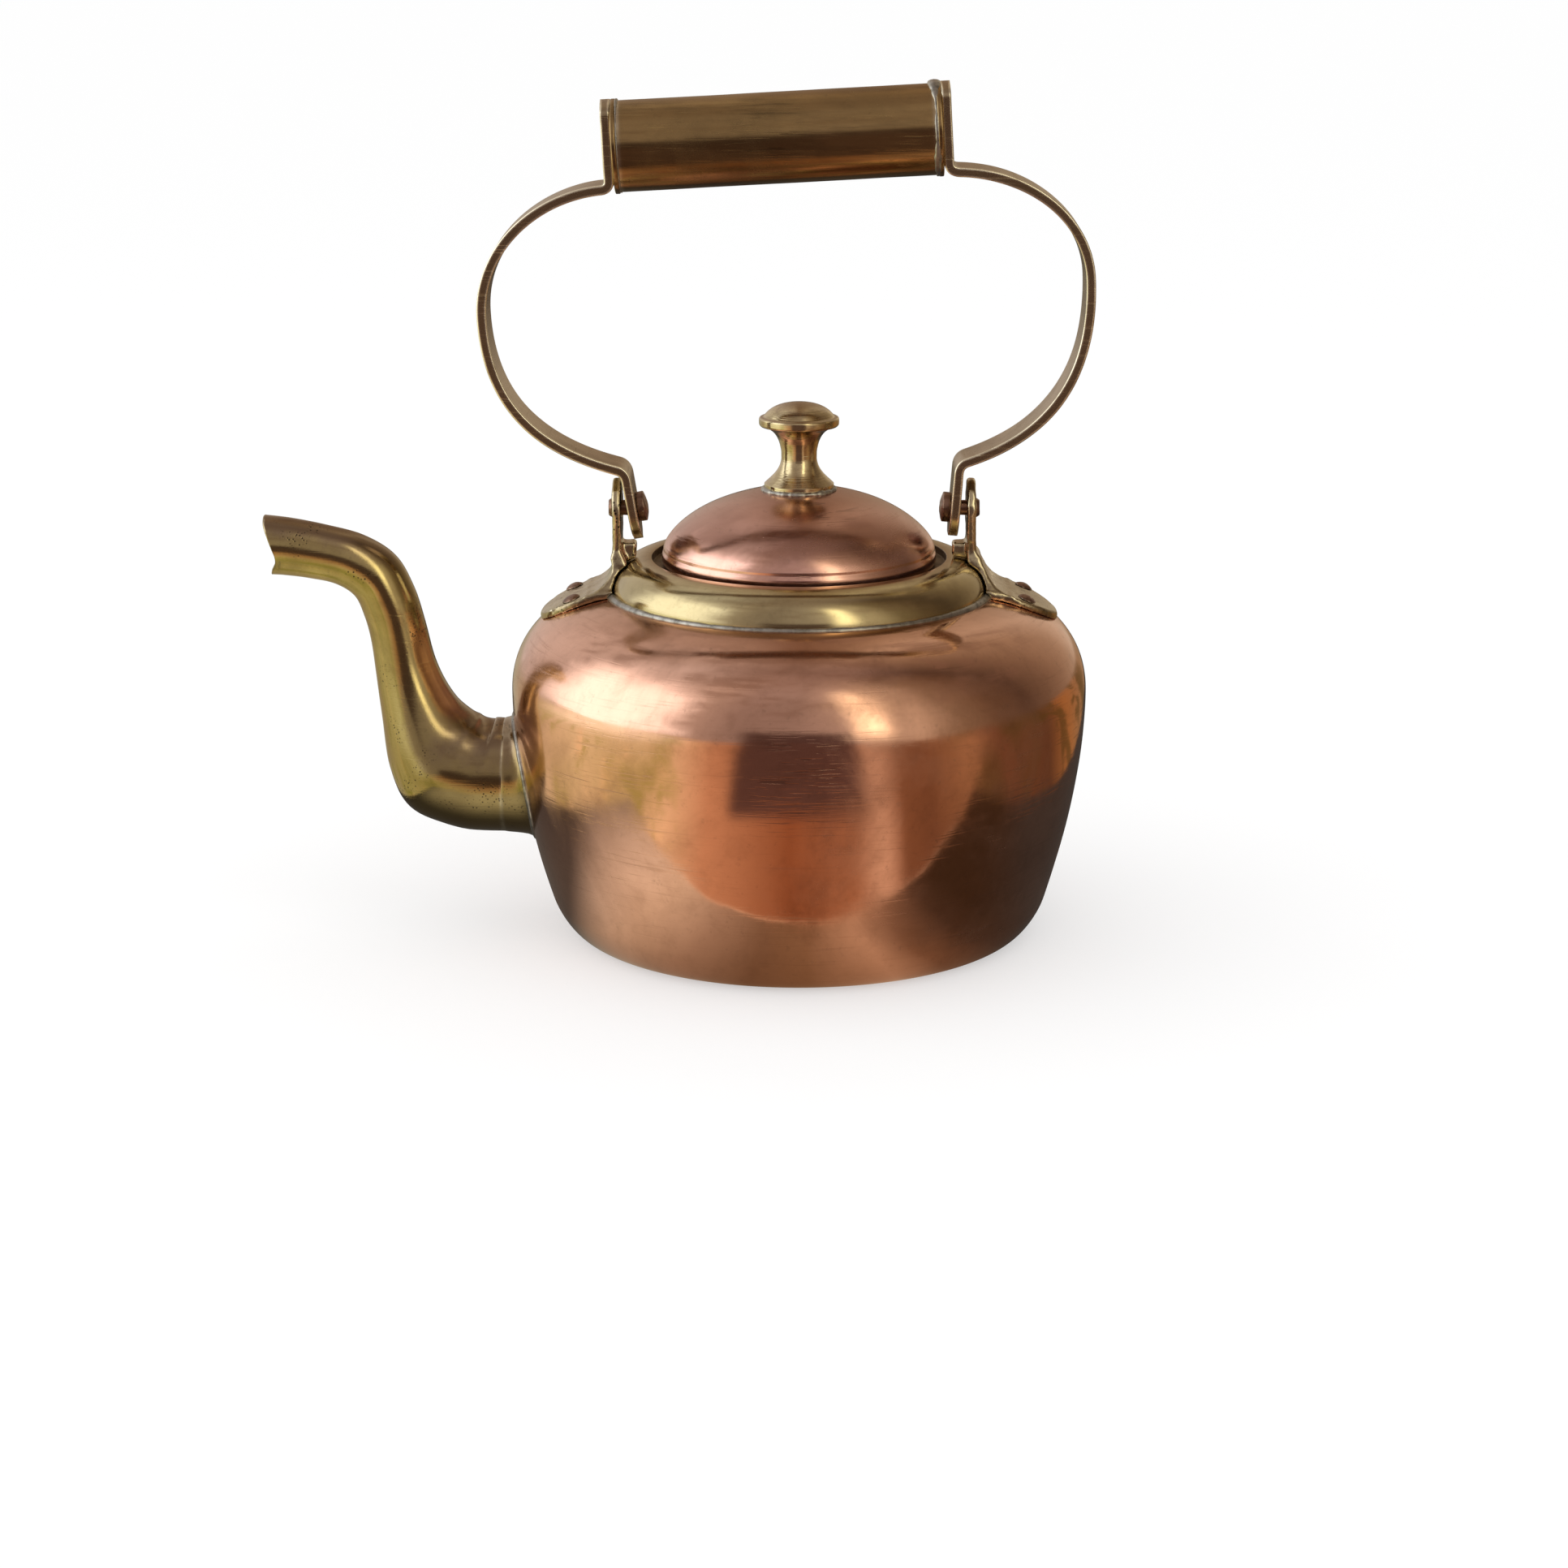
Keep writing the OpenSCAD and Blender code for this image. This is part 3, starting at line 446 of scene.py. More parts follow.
def piece(name, form, finish, body, nodes=(), sharp=50, place=None):
    """A closed mesh from (points, faces), riding on a body and standing for nodes of the frame."""
    points, faces = form
    mesh = bpy.data.meshes.new(name)
    mesh.from_pydata([place @ Vector(p) for p in points] if place else points, [], faces)
    work = bmesh.new()
    work.from_mesh(mesh)
    bmesh.ops.recalc_face_normals(work, faces=work.faces)
    work.to_mesh(mesh)
    work.free()
    return link(mesh, name, finish, body, nodes, sharp)


def loft(rings, close_rows=False):
    """Faces between rings of equal counts of points, each ring closed; open ends get one flat face."""
    count = len(rings[0])
    points = [p for ring in rings for p in ring]
    pairs = [(i, i + 1) for i in range(len(rings) - 1)] + ([(len(rings) - 1, 0)] if close_rows else [])
    faces = [(a * count + k, a * count + (k + 1) % count, b * count + (k + 1) % count, b * count + k)
             for a, b in pairs for k in range(count)]
    if not close_rows:
        last = (len(rings) - 1) * count
        faces += [tuple(range(count))[::-1], tuple(range(last, last + count))]
    return points, faces


def turned(rows, steps=128, warp=None):
    """A closed form turned about Z from (radius, height) rows. A row of radius 0 is one point."""
    points, rings = [], []
    for r, z in rows:
        angles = [0] if r < 1e-7 else [TURN * k / steps for k in range(steps)]
        rings.append(range(len(points), len(points) + len(angles)))
        points += [Vector((r * cos(a), r * sin(a), z)) for a in angles]
    faces = []
    for a, b in zip(rings, rings[1:] + rings[:1]):
        for k in range(steps):
            n = (k + 1) % steps
            if len(a) > 1 and len(b) > 1:
                faces.append((a[k], a[n], b[n], b[k]))
            elif len(b) > 1:
                faces.append((a[0], b[n], b[k]))
            elif len(a) > 1:
                faces.append((a[k], a[n], b[0]))
    return ([warp(p) for p in points] if warp else points), faces


def bezier(c, t):
    return [c[0][k] * (1 - t) ** 3 + 3 * c[1][k] * t * (1 - t) ** 2 + 3 * c[2][k] * t * t * (1 - t) + c[3][k] * t**3
            for k in range(len(c[0]))]


def curve(c, count, first=0):
    return [tuple(bezier(c, i / count)) for i in range(first, count + 1)]


def offset(rows, out):
    """Rows moved sideways, to the right of their run."""
    made = []
    for i, (x, z) in enumerate(rows):
        a, b = rows[max(0, i - 1)], rows[min(len(rows) - 1, i + 1)]
        run = Vector((b[0] - a[0], b[1] - a[1])).normalized()
        made.append((x + out * run[1], z - out * run[0]))
    return made


def rounded(rows, radii, steps=4):
    """Rows with the corners named in radii {index: radius} rounded off."""
    made = []
    for i, p in enumerate(rows):
        if i not in radii:
            made.append(tuple(p))
            continue
        here, last, following = Vector(p), Vector(rows[i - 1]), Vector(rows[(i + 1) % len(rows)])
        a = here + (last - here).normalized() * min(radii[i], (last - here).length * 0.48)
        b = here + (following - here).normalized() * min(radii[i], (following - here).length * 0.48)
        for s in range(steps + 1):
            t = s / steps
            made.append(tuple(a * (1 - t) ** 2 + here * 2 * t * (1 - t) + b * t * t))
    return made


def lumps(point, scale, seed):
    return noise.noise(Vector(point) * scale + Vector((seed, seed * 0.7, -seed)))


def bead(centres, normals, radius, height, sides=14):
    """A closed lumpy bead along a closed line of points: radius(i) wide and height(i) high on the normals."""
    count = len(centres)
    rings = []
    for i, (c, n) in enumerate(zip(centres, normals)):
        run = (centres[(i + 1) % count] - centres[i - 1]).normalized()
        across = run.cross(n).normalized()
        rings.append([c + across * radius(i) * cos(TURN * k / sides) + n * height(i) * sin(TURN * k / sides)
                      for k in range(sides)])
    return loft(rings, close_rows=True)


def solder_bead(name, body, count, wide, high, spot):
    """A lumpy bead of solder round a joint. spot(turn) gives its middle, its outward way and its size there."""
    centres, normals, grow = zip(*(spot(TURN * k / count) for k in range(count)))
    form = bead(centres, normals, lambda i: wide * grow[i], lambda i: high * grow[i], 12)
    piece(name, form, "Solder_grey", body, [name.lower()], 80)


def soften(node, finish, voxel, passes, lump=0.0, lump_size=0.003):
    """Rounds a node of the frame with modifiers and gives it its finish."""
    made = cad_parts[node]
    skin = made.modifiers.new("Skin", "REMESH")
    skin.mode = "VOXEL"
    skin.voxel_size = voxel
    skin.use_smooth_shade = True
    ease = made.modifiers.new("Rounding", "SMOOTH")
    ease.factor = 0.5
    ease.iterations = passes
    if lump:
        clouds = bpy.data.textures.new(node + "_lumps", "CLOUDS")
        clouds.noise_scale = lump_size
        cast = made.modifiers.new("Lumps", "DISPLACE")
        cast.texture = clouds
        cast.strength = lump
    finish_node(node, finish)


def finish_node(node, finish):
    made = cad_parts[node]
    made.data.materials.clear()
    made.data.materials.append(FINISHES[finish])


def bevel_node(node, finish, size=0.0003):
    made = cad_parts[node]
    soft = made.modifiers.new("Edges", "BEVEL")
    soft.width = size
    soft.segments = 3
    soft.limit_method = "ANGLE"
    soft.angle_limit = radians(35)
    finish_node(node, finish)


# ---- Body, spout and collar ----


def body_rows(s, count=1):
    """The body's outer rows from the base's edge to under the collar."""
    heel = (s.base_r + (s.belly_r - s.base_r) * 0.47, s.heel_z)
    rise = s.belly_z - s.heel_z
    lip = Vector((-22, 4)).normalized()
    corner = [(s.base_r, 0), (s.base_r + 5 * MM, 0), (heel[0] - 1.32 * MM, heel[1] - 4 * MM), heel]
    side = [heel, (heel[0] + 0.0759 * rise, heel[1] + 0.23 * rise), (s.belly_r, s.belly_z - 0.38 * rise),
            (s.belly_r, s.belly_z)]
    shoulder = [(s.belly_r, s.belly_z), (s.belly_r, s.belly_z + 0.47 * (s.seam_z - s.belly_z)),
                (s.seam_r - 23 * MM * lip[0], s.seam_z - 23 * MM * lip[1]), (s.seam_r, s.seam_z)]
    end = (s.seam_r + 3.7 * MM * lip[0], s.seam_z + 3.7 * MM * lip[1])
    return curve(corner, 12 * count) + curve(side, 34 * count, 1) + curve(shoulder, 30 * count, 1) + [end]


def body_radius(s):
    """A function that gives the body's radius at a height below the shoulder."""
    rows = [(z, r) for r, z in body_rows(s, 2)]

    def radius(z):
        for (z0, r0), (z1, r1) in zip(rows, rows[1:]):
            if z0 <= z <= z1:
                return r0 + (r1 - r0) * (z - z0) / max(z1 - z0, 1e-9)
        return s.belly_r

    return radius


def dented(p):
    """The sheet's slight unevenness, in and out, which fades at the seams."""
    r = sqrt(p.x * p.x + p.y * p.y)
    if r < 0.04:
        return p
    fade = min(1.0, max(0.0, p.z / 0.012)) * min(1.0, max(0.0, (0.112 - p.z) / 0.012))
    shift = (0.00022 * lumps(p, 24.0, 3.1) + 0.00007 * lumps(p, 70.0, 8.2)) * fade - 0.00008 * fade
    return Vector((p.x * (1 + shift / r), p.y * (1 + shift / r), p.z))


BODY_STEPS = 224
WATER_HOLE_R = 14 * MM


def build_body(s):
    outer = body_rows(s, 2)
    inner = offset(outer, -s.sheet)
    rows = outer + inner[::-1]
    form = turned(rows, BODY_STEPS, dented)
    made = piece("Kettle_body", form, "Copper_body", "root", ["body_shell"])
    made.data.materials.append(FINISHES["Tin_lining"])
    for face in made.data.polygons:
        face.material_index = int(face.index // BODY_STEPS >= len(outer))
    # The water hole behind the spout
    hole = bmesh.new()
    bmesh.ops.create_cone(hole, cap_ends=True, segments=48, radius1=WATER_HOLE_R, radius2=WATER_HOLE_R, depth=40 * MM,
                          matrix=Matrix.Translation((-s.belly_r, 0, s.spout_z)) @ Matrix.Rotation(pi / 2, 4, "Y"))
    mesh = bpy.data.meshes.new("Hole")
    hole.to_mesh(mesh)
    hole.free()
    cutter = bpy.data.objects.new("Hole", mesh)
    bpy.context.scene.collection.objects.link(cutter)
    cut = made.modifiers.new("Water_hole", "BOOLEAN")
    cut.object = cutter
    cut.operation = "DIFFERENCE"
    cut.solver = "EXACT"
    depsgraph = bpy.context.evaluated_depsgraph_get()
    whole = bpy.data.meshes.new_from_object(made.evaluated_get(depsgraph))
    made.modifiers.clear()
    made.data = whole
    bpy.data.objects.remove(cutter)


def build_base(s):
    bevel_node("base_plate", "Copper_base", 0.2 * MM)
    rows = rounded([(s.base_r - 1 * MM, 0), (s.base_r, 0), (s.base_r, s.sheet), (s.base_r - 1 * MM, s.sheet)],
                   {1: 0.3 * MM, 2: 0.3 * MM})
    piece("Base_braze", turned(rows, 160), "Brass_cast", "root", ["base_braze"])


def build_collar(s):
    top = reach("collar", 2)
    rise = top - s.seam_z
    seat = top - 2.6 * MM
    mouth = width("lid_band", 0) / 2 + 0.6 * MM
    wide = s.seam_r - s.rim_r
    arc = [(s.rim_r + wide * cos(pi / 2 * k / 24), s.seam_z + rise * sin(pi / 2 * k / 24)) for k in range(25)]
    in_arc = [(s.rim_r + (wide - s.collar_t) * cos(pi / 2 * k / 24),
               s.seam_z + (rise - s.collar_t) * sin(pi / 2 * k / 24)) for k in range(25)]
    inside = [(s.rim_r - 0.0014, top), (s.rim_r - 0.0014, seat), (mouth, seat), (mouth, seat - 2.8 * MM),
              (mouth + s.collar_t, seat - 2.8 * MM), (mouth + s.collar_t, seat - s.collar_t),
              (s.rim_r, seat - s.collar_t)]
    inside = rounded([arc[-1]] + inside, {1: 0.35 * MM, 2: 0.4 * MM, 3: 0.7 * MM, 4: 0.3 * MM, 5: 0.3 * MM})
    rows = [(s.seam_r, s.seam_z - 0.3 * MM)] + arc + inside[1:] + in_arc[::-1]
    rows += [(s.seam_r - s.collar_t, s.seam_z - 0.3 * MM)]
    made = piece("Collar", turned(rows, 192), "Brass_collar", "root", ["collar"], 35)
    # The ledge under the lid takes the dark gutter finish: grime and painted shade between collar and lid
    made.data.materials.append(FINISHES["Brass_gutter_grime_and_shade"])
    for face in made.data.polygons:
        face.material_index = int(face.center.xy.length < s.rim_r - 1.15 * MM and face.center.z > seat - 3 * MM)

    def seam(a):
        # Thicker at the sides, by the brackets
        side = abs(cos(a)) ** 4
        out = Vector((cos(a), sin(a), 0))
        uneven = lumps(out * 0.06, 170.0, 1.7) * 0.25 + lumps(out * 0.06, 600.0, 4.0) * 0.14
        centre = out * (s.seam_r + (0.35 + 0.5 * side) * MM) + Vector((0, 0, s.seam_z + 0.15 * MM))
        return centre, (out * 0.75 + Vector((0, 0, 0.66))).normalized(), 0.78 + 0.55 * side + uneven

    solder_bead("Collar_solder", "root", 360, 1.05 * MM, 0.62 * MM, seam)


SPOUT_PATH = [(0, 0, 0), (0.13, 0.01, -0.02), (0.26, 0.053, 0.04), (0.327, 0.153, 0.36), (0.371, 0.31, 0.71),
              (0.41, 0.465, 0.92), (0.44, 0.63, 1), (0.474, 0.755, 1), (0.53, 0.865, 1), (0.635, 0.934, 1.02),
              (0.77, 0.969, 1.02), (0.9, 0.99, 0.99), (1, 1, 0.98)]


def spout_row(u):
    """Shares of the reach, the rise and the narrowing at a place along the spout, from 0 to 12."""
    last = len(SPOUT_PATH) - 1
    i = min(last - 1, int(u))
    t = u - i
    a, b, c, d = (SPOUT_PATH[max(0, min(last, i + k))] for k in (-1, 0, 1, 2))
    return [0.5 * (2 * b[k] + (c[k] - a[k]) * t + (2 * a[k] - 5 * b[k] + 4 * c[k] - d[k]) * t * t
                   + (3 * b[k] - a[k] - 3 * c[k] + d[k]) * t**3) for k in range(3)]


def beak(v):
    """How far the mouth's edge stands beyond the path's end, from the lower lip at -1 to the upper at 1."""
    lower, notch, upper, notch_at = -4.2 * MM, -6.4 * MM, 0.4 * MM, -0.35

    def straight(w):
        w = max(-1.0, min(1.0, w))
        if w < notch_at:
            return lower + (notch - lower) * (w + 1) / (notch_at + 1)
        return notch + (upper - notch) * (w - notch_at) / (1 - notch_at)

    return sum(straight(v + d) for d in (-0.18, -0.09, 0, 0.09, 0.18)) / 5


def build_spout(s):
    foot_x = s.belly_r + s.foot_band
    last = len(SPOUT_PATH) - 1
    sides = 64

    def centre(u):
        row = spout_row(u)
        return Vector((-foot_x - s.spout_reach * row[0], 0, s.spout_z + s.spout_rise * row[1]))

    def heading(u):
        u = max(0.05, min(last - 0.05, u))
        return (centre(u + 0.05) - centre(u - 0.05)).normalized()

    def ring(u, inset, ahead=0.0):
        run = sum((heading(u + d) for d in (-2, -1.2, -0.4, 0.4, 1.2, 2)), Vector()) / 6
        run = Vector((-1, 0, 0)).lerp(run, min(1.0, u)).normalized()
        up = Vector((run.z, 0, -run.x))
        r = s.spout_root_r + (s.spout_neck_r - s.spout_root_r) * spout_row(u)[2] - inset
        share = max(0.0, u - last + 1)
        c = centre(u)
        points = []
        for k in range(sides):
            a = TURN * k / sides
            p = c + up * r * cos(a) + Vector((0, r * sin(a), 0)) + run * (share * beak(cos(a)) + ahead)
            if not inset:
                away = (p - c).normalized()
                p += up * 2.4 * MM * max(0.0, cos(a)) ** 2 / (1 + ((u - 2.6) / 0.9) ** 4)
                band = 0.22 * MM / (1 + ((u - 0.9) / 0.3) ** 4) * min(1.0, 1.0 - cos(a))
                p += away * (0.00016 * lumps(p, 45.0, 5.0) + min(1.0, u / 0.4) * band)
            points.append(p)
        return points

    steps = 8
    rows = [ring(i / steps, 0.0) for i in range(last * steps + 1)]
    rows += [ring(last, 0.3 * MM, 0.25 * MM), ring(last, s.spout_t - 0.3 * MM, 0.25 * MM)]
    rows += [ring(i / steps, s.spout_t) for i in range(last * steps, -1, -2)]
    piece("Spout", loft(rows, close_rows=True), "Brass_spout", "root", ["spout"], 50)

    # The foot runs from the belly out to the spout, a little flared
    radius = body_radius(s)

    def surface(a, r):
        y, z = r * sin(a), s.spout_z + r * cos(a)
        return Vector((-sqrt(radius(z) ** 2 - y * y), y, z))

    def foot_ring(t, grow):
        made = []
        for k in range(96):
            a = TURN * k / 96
            r = s.spout_root_r + grow
            on = surface(a, r)
            made.append(Vector((on.x * (1 - t) - foot_x * t, on.y, on.z)))
        return made

    flare = [(0, 1.9), (0.08, 1.5), (0.2, 1.0), (0.4, 0.65), (0.62, 0.42), (0.8, 0.28), (0.92, 0.14), (1, 0.0)]
    rows = [foot_ring(t, g * MM) for t, g in flare]
    rows += [foot_ring(t, -s.spout_t) for t in (1, 0.5, 0)]
    piece("Spout_foot", loft(rows, close_rows=True), "Brass_spout", "root", ["spout_foot"], 50)

    def seam(a):
        p = surface(a, s.spout_root_r + 2.1 * MM)
        out = Vector((p.x, p.y, 0)).normalized()
        away = Vector((0, sin(a), cos(a)))
        size = 1 + 0.3 * lumps(p, 150.0, 2.2) + 0.15 * lumps(p, 500.0, 6.1)
        return p + out * 0.1 * MM, (out * 0.8 + away * 0.6).normalized(), size

    solder_bead("Spout_solder", "root", 240, 0.85 * MM, 0.5 * MM, seam)


# ---- Lid and knob ----


def build_lid(s):
    low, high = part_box("lid_dome")
    lid_r = high.x
    base, apex = low.z, high.z
    edge = lid_r - 0.4 * MM
    crease = base + s.lid_wall
    rise = apex - crease

    def dome(r, e, h):
        ball = (e * e + h * h) / (2 * h)
        return 0.6 * h * sqrt(max(0, 1 - (r / e) ** 2)) + 0.4 * (sqrt(ball * ball - r * r) - ball + h)

    wall = [(lid_r - (0.15 + 1.1 * (2 * t - 1) ** 4) * MM, base + s.lid_wall * t) for t in
            (0, 0.04, 0.1, 0.2, 0.35, 0.5, 0.65, 0.8, 0.9)]
    outer = wall + [(edge - 0.35 * MM, crease + 0.1 * MM)]
    for k in range(2, 64):
        r = edge * cos(pi / 2 * k / 64)
        outer.append((r - 0.2 * MM * (1 - k / 64), crease + dome(r, edge, rise)))
    outer = [p for p in outer if p[0] > 2.6 * MM] + [(2.6 * MM, apex)]
    inner = [(r, z) for r, z in offset(outer, -s.lid_t)]
    inner = [(max(2.6 * MM, r), max(base + 0.05 * MM, z)) for r, z in inner]

    def warp(p):
        r = sqrt(p.x * p.x + p.y * p.y)
        fade = min(1.0, max(0.0, (p.z - crease) / 0.004)) * min(1.0, max(0.0, (r - 0.010) / 0.008))
        shift = fade * (0.00026 * lumps(p, 45.0, 11.0) - 0.00010)
        return Vector((p.x, p.y, p.z + shift))

    form = turned(outer + inner[::-1], 176, warp)
    piece("Lid", form, "Copper_lid", "lid", ["lid_dome"], 40)
    finish_node("lid_band", "Brass_collar")
    finish_node("knob_burr", "Copper_rivet")

    knob_h = reach("lid_knob", 2) - apex
    flange_r = width("lid_knob", 0) / 2
    foot_r = 11.4 * MM
    flange = apex + knob_h * 0.725
    waist = apex + knob_h * 0.34
    foot = curve([(foot_r, apex + 1.2 * MM), (foot_r - 2.2 * MM, apex + 3.4 * MM),
                  (s.knob_waist + 0.4 * MM, apex + 5.4 * MM), (s.knob_waist, waist)], 18)
    neck = curve([(s.knob_waist, waist), (s.knob_waist, flange - 4 * MM),
                  (s.knob_waist + 2.4 * MM, flange - 0.8 * MM), (flange_r - 0.5 * MM, flange)], 18, 1)
    rim = rounded([neck[-1], (flange_r, flange + 0.5 * MM), (flange_r, flange + 2.5 * MM),
                   (flange_r - 0.4 * MM, flange + 2.9 * MM), (flange_r - 1.3 * MM, flange + 3.05 * MM)],
                  {1: 0.5 * MM, 2: 0.4 * MM, 3: 0.3 * MM})
    top = curve([(flange_r - 1.5 * MM, flange + 3.15 * MM), (flange_r - 4.0 * MM, apex + knob_h - 1.0 * MM),
                 (flange_r * 0.36, apex + knob_h), (0, apex + knob_h)], 22)
    # Fine beads turned on the waist
    neck = [(r - 0.12 * MM * max(0, sin((z - waist) * 4200)), z) if abs(z - waist) < 4 * MM else (r, z)
            for r, z in neck]
    below = apex - s.lid_t - 1.2 * MM
    rows = [(0, below), (2.55 * MM, below), (2.55 * MM, apex + 0.02 * MM)]
    rows += rounded([(foot_r - 0.01 * MM, apex + 0.02 * MM), (foot_r, apex + 0.6 * MM)], {}) + foot
    piece("Knob", turned(rows + neck + rim[1:] + top, 128), "Brass_knob", "lid", ["lid_knob"], 45)

    def seam(a):
        out = Vector((cos(a), sin(a), 0))
        size = 0.9 + 0.55 * lumps(out * 0.012, 320.0, 9.0) + 0.35 * lumps(out * 0.012, 900.0, 1.0)
        centre = out * (foot_r + 0.3 * MM) + Vector((0, 0, apex - 0.55 * MM))
        return centre, (out + Vector((0, 0, 1.0))).normalized(), size

    solder_bead("Knob_solder", "lid", 160, 1.0 * MM, 0.7 * MM, seam)


# ---- Handle ----


def handle_places(s):
    """The places of the handle's path: leaned points and the grip's own frame."""
    pivot_z = reach("collar", 2) + 16.1 * MM
    slope = tan(s.lean)
    sway = 1.6 * MM
    grip_h = middle("grip_tube").z - pivot_z

    def leaned(x, z, hand):
        up = z - pivot_z
        tilt = slope * (0.35 + 0.65 * up / grip_h)
        return Vector((hand * x - sway - up * 0.82 * slope, 0, z + hand * x * tilt))

    grip = Matrix.Translation(middle("grip_tube")) @ Matrix.Rotation(-s.lean, 4, "Y")
    return pivot_z, leaned, grip, grip_h


def strap_path(s, hand):
    """The bar's middle line from the tab's tip to the end of the grip's plate, with both bends rounded."""
    pivot_z, leaned, grip, grip_h = handle_places(s)
    tab_mid = s.rim_r + (6.7 + 1.45 - 5.3) * MM
    lean = tan(radians(7))
    knee = (tab_mid + s.knee_h * lean, pivot_z + s.knee_h)
    out = s.bow_out - (s.bow_tuck if hand == LEFT else 0)
    rise = s.bow_h + (s.bow_lift if hand == RIGHT else 0)
    bow = (knee[0] + out, pivot_z + rise)
    plate_x = s.grip_l / 2 + 1.6 * MM + s.bar_t / 2
    grip_z = pivot_z + grip_h
    join = (plate_x, grip_z - s.grip_r + s.bar_t / 2 + 0.2 * MM)
    lower = [knee, (knee[0] + 0.62 * out, knee[1] + 0.17 * out), (bow[0], bow[1] - 0.46 * rise), bow]
    upper = [bow, (bow[0], bow[1] + 0.61 * (grip_h - s.grip_r - rise)),
             (join[0] + 0.52 * (bow[0] - plate_x), join[1]), join]
    tip_z = pivot_z - s.bar_w / 2 + 0.02 * MM
    tip = (tab_mid - (pivot_z - tip_z) * lean, tip_z)
    tab = [leaned(tip[0] + (knee[0] - tip[0]) * t / 24, tip[1] + (knee[1] - tip[1]) * t / 24, hand)
           for t in range(24)]
    arm = [leaned(x, z, hand) for x, z in curve(lower, 60) + curve(upper, 60, 1)]
    foot = grip @ Vector((hand * plate_x, 0, join[1] - grip_z))
    head = grip @ Vector((hand * plate_x, 0, s.grip_r + 0.38 * MM))
    plate = [foot.lerp(head, t / 30) for t in range(1, 31)]
    path = tab + arm + plate
    for corner, near in ((foot, 2.6 * MM), (arm[0], 2.2 * MM)):
        before = [p for p in path if path.index(p) < path.index(min(path, key=lambda q: (q - corner).length))]
        after = path[len(before) + 1:]
        before = [p for p in before if (p - corner).length > near]
        after = [p for p in after if (p - corner).length > near]
        a, b = before[-1], after[0]
        path = before + [a * (1 - t) ** 2 + corner * 2 * t * (1 - t) + b * t * t
                         for t in [k / 8 for k in range(1, 8)]] + after
    return path, grip


def build_straps(s):
    pivot_z = handle_places(s)[0]
    for hand, name in ((LEFT, "left"), (RIGHT, "right")):
        path, grip = strap_path(s, hand)
        back = grip.inverted()
        rings = []
        for i, p in enumerate(path):
            a, b = path[max(0, i - 1)], path[min(len(path) - 1, i + 1)]
            run = (b - a).normalized()
            n = Vector((-run.z, 0, run.x))
            half = s.bar_w / 2
            if p.z < pivot_z:
                half = sqrt(max(1e-8, half * half - (pivot_z - p.z) ** 2))
            up = (back @ p).z
            if up > 0 and abs((back @ p).x) < s.grip_l / 2 + 8 * MM:
                end_r = s.grip_r + 0.4 * MM
                half = min(half, sqrt(max(1e-8, end_r * end_r - up * up)))
            thick = s.bar_t / 2 - 0.05 * MM + 0.08 * MM * lumps(p, 60.0, 20.0 + hand)
            half -= 0.12 * MM * abs(lumps(p, 90.0, 30.0 + hand))
            edge = min(0.5 * MM, half * 0.5)
            flat = edge + 0.35 * MM
            ring = []
            for sy, sn in ((1, 1), (-1, 1), (-1, -1), (1, -1)):
                corner = [(half - edge + edge * cos(pi / 2 * k / 4), thick - edge + edge * sin(pi / 2 * k / 4))
                          for k in range(5)]
                corner = [(half, thick - flat)] + corner + [(max(0.0, half - flat), thick)]
                for y, h in corner if sy * sn > 0 else corner[::-1]:
                    ring.append(p + Vector((0, sy * y, 0)) + n * sn * h)
            rings.append(ring)
        made = piece("Strap_" + name, loft(rings), "Brass_bar", "handle", ["strap_" + name], 60)
        worn = made.data.attributes.new("Worn", "FLOAT", "POINT")
        for k in range(len(made.data.vertices)):
            worn.data[k].value = 1.0 if 1 <= k % 7 <= 5 else 0.0
        soften("pivot_rivet_" + name, "Copper_rivet", PIVOT_RIVET_VOXEL, RIVET_PASSES, 0.25 * MM,
               0.002)


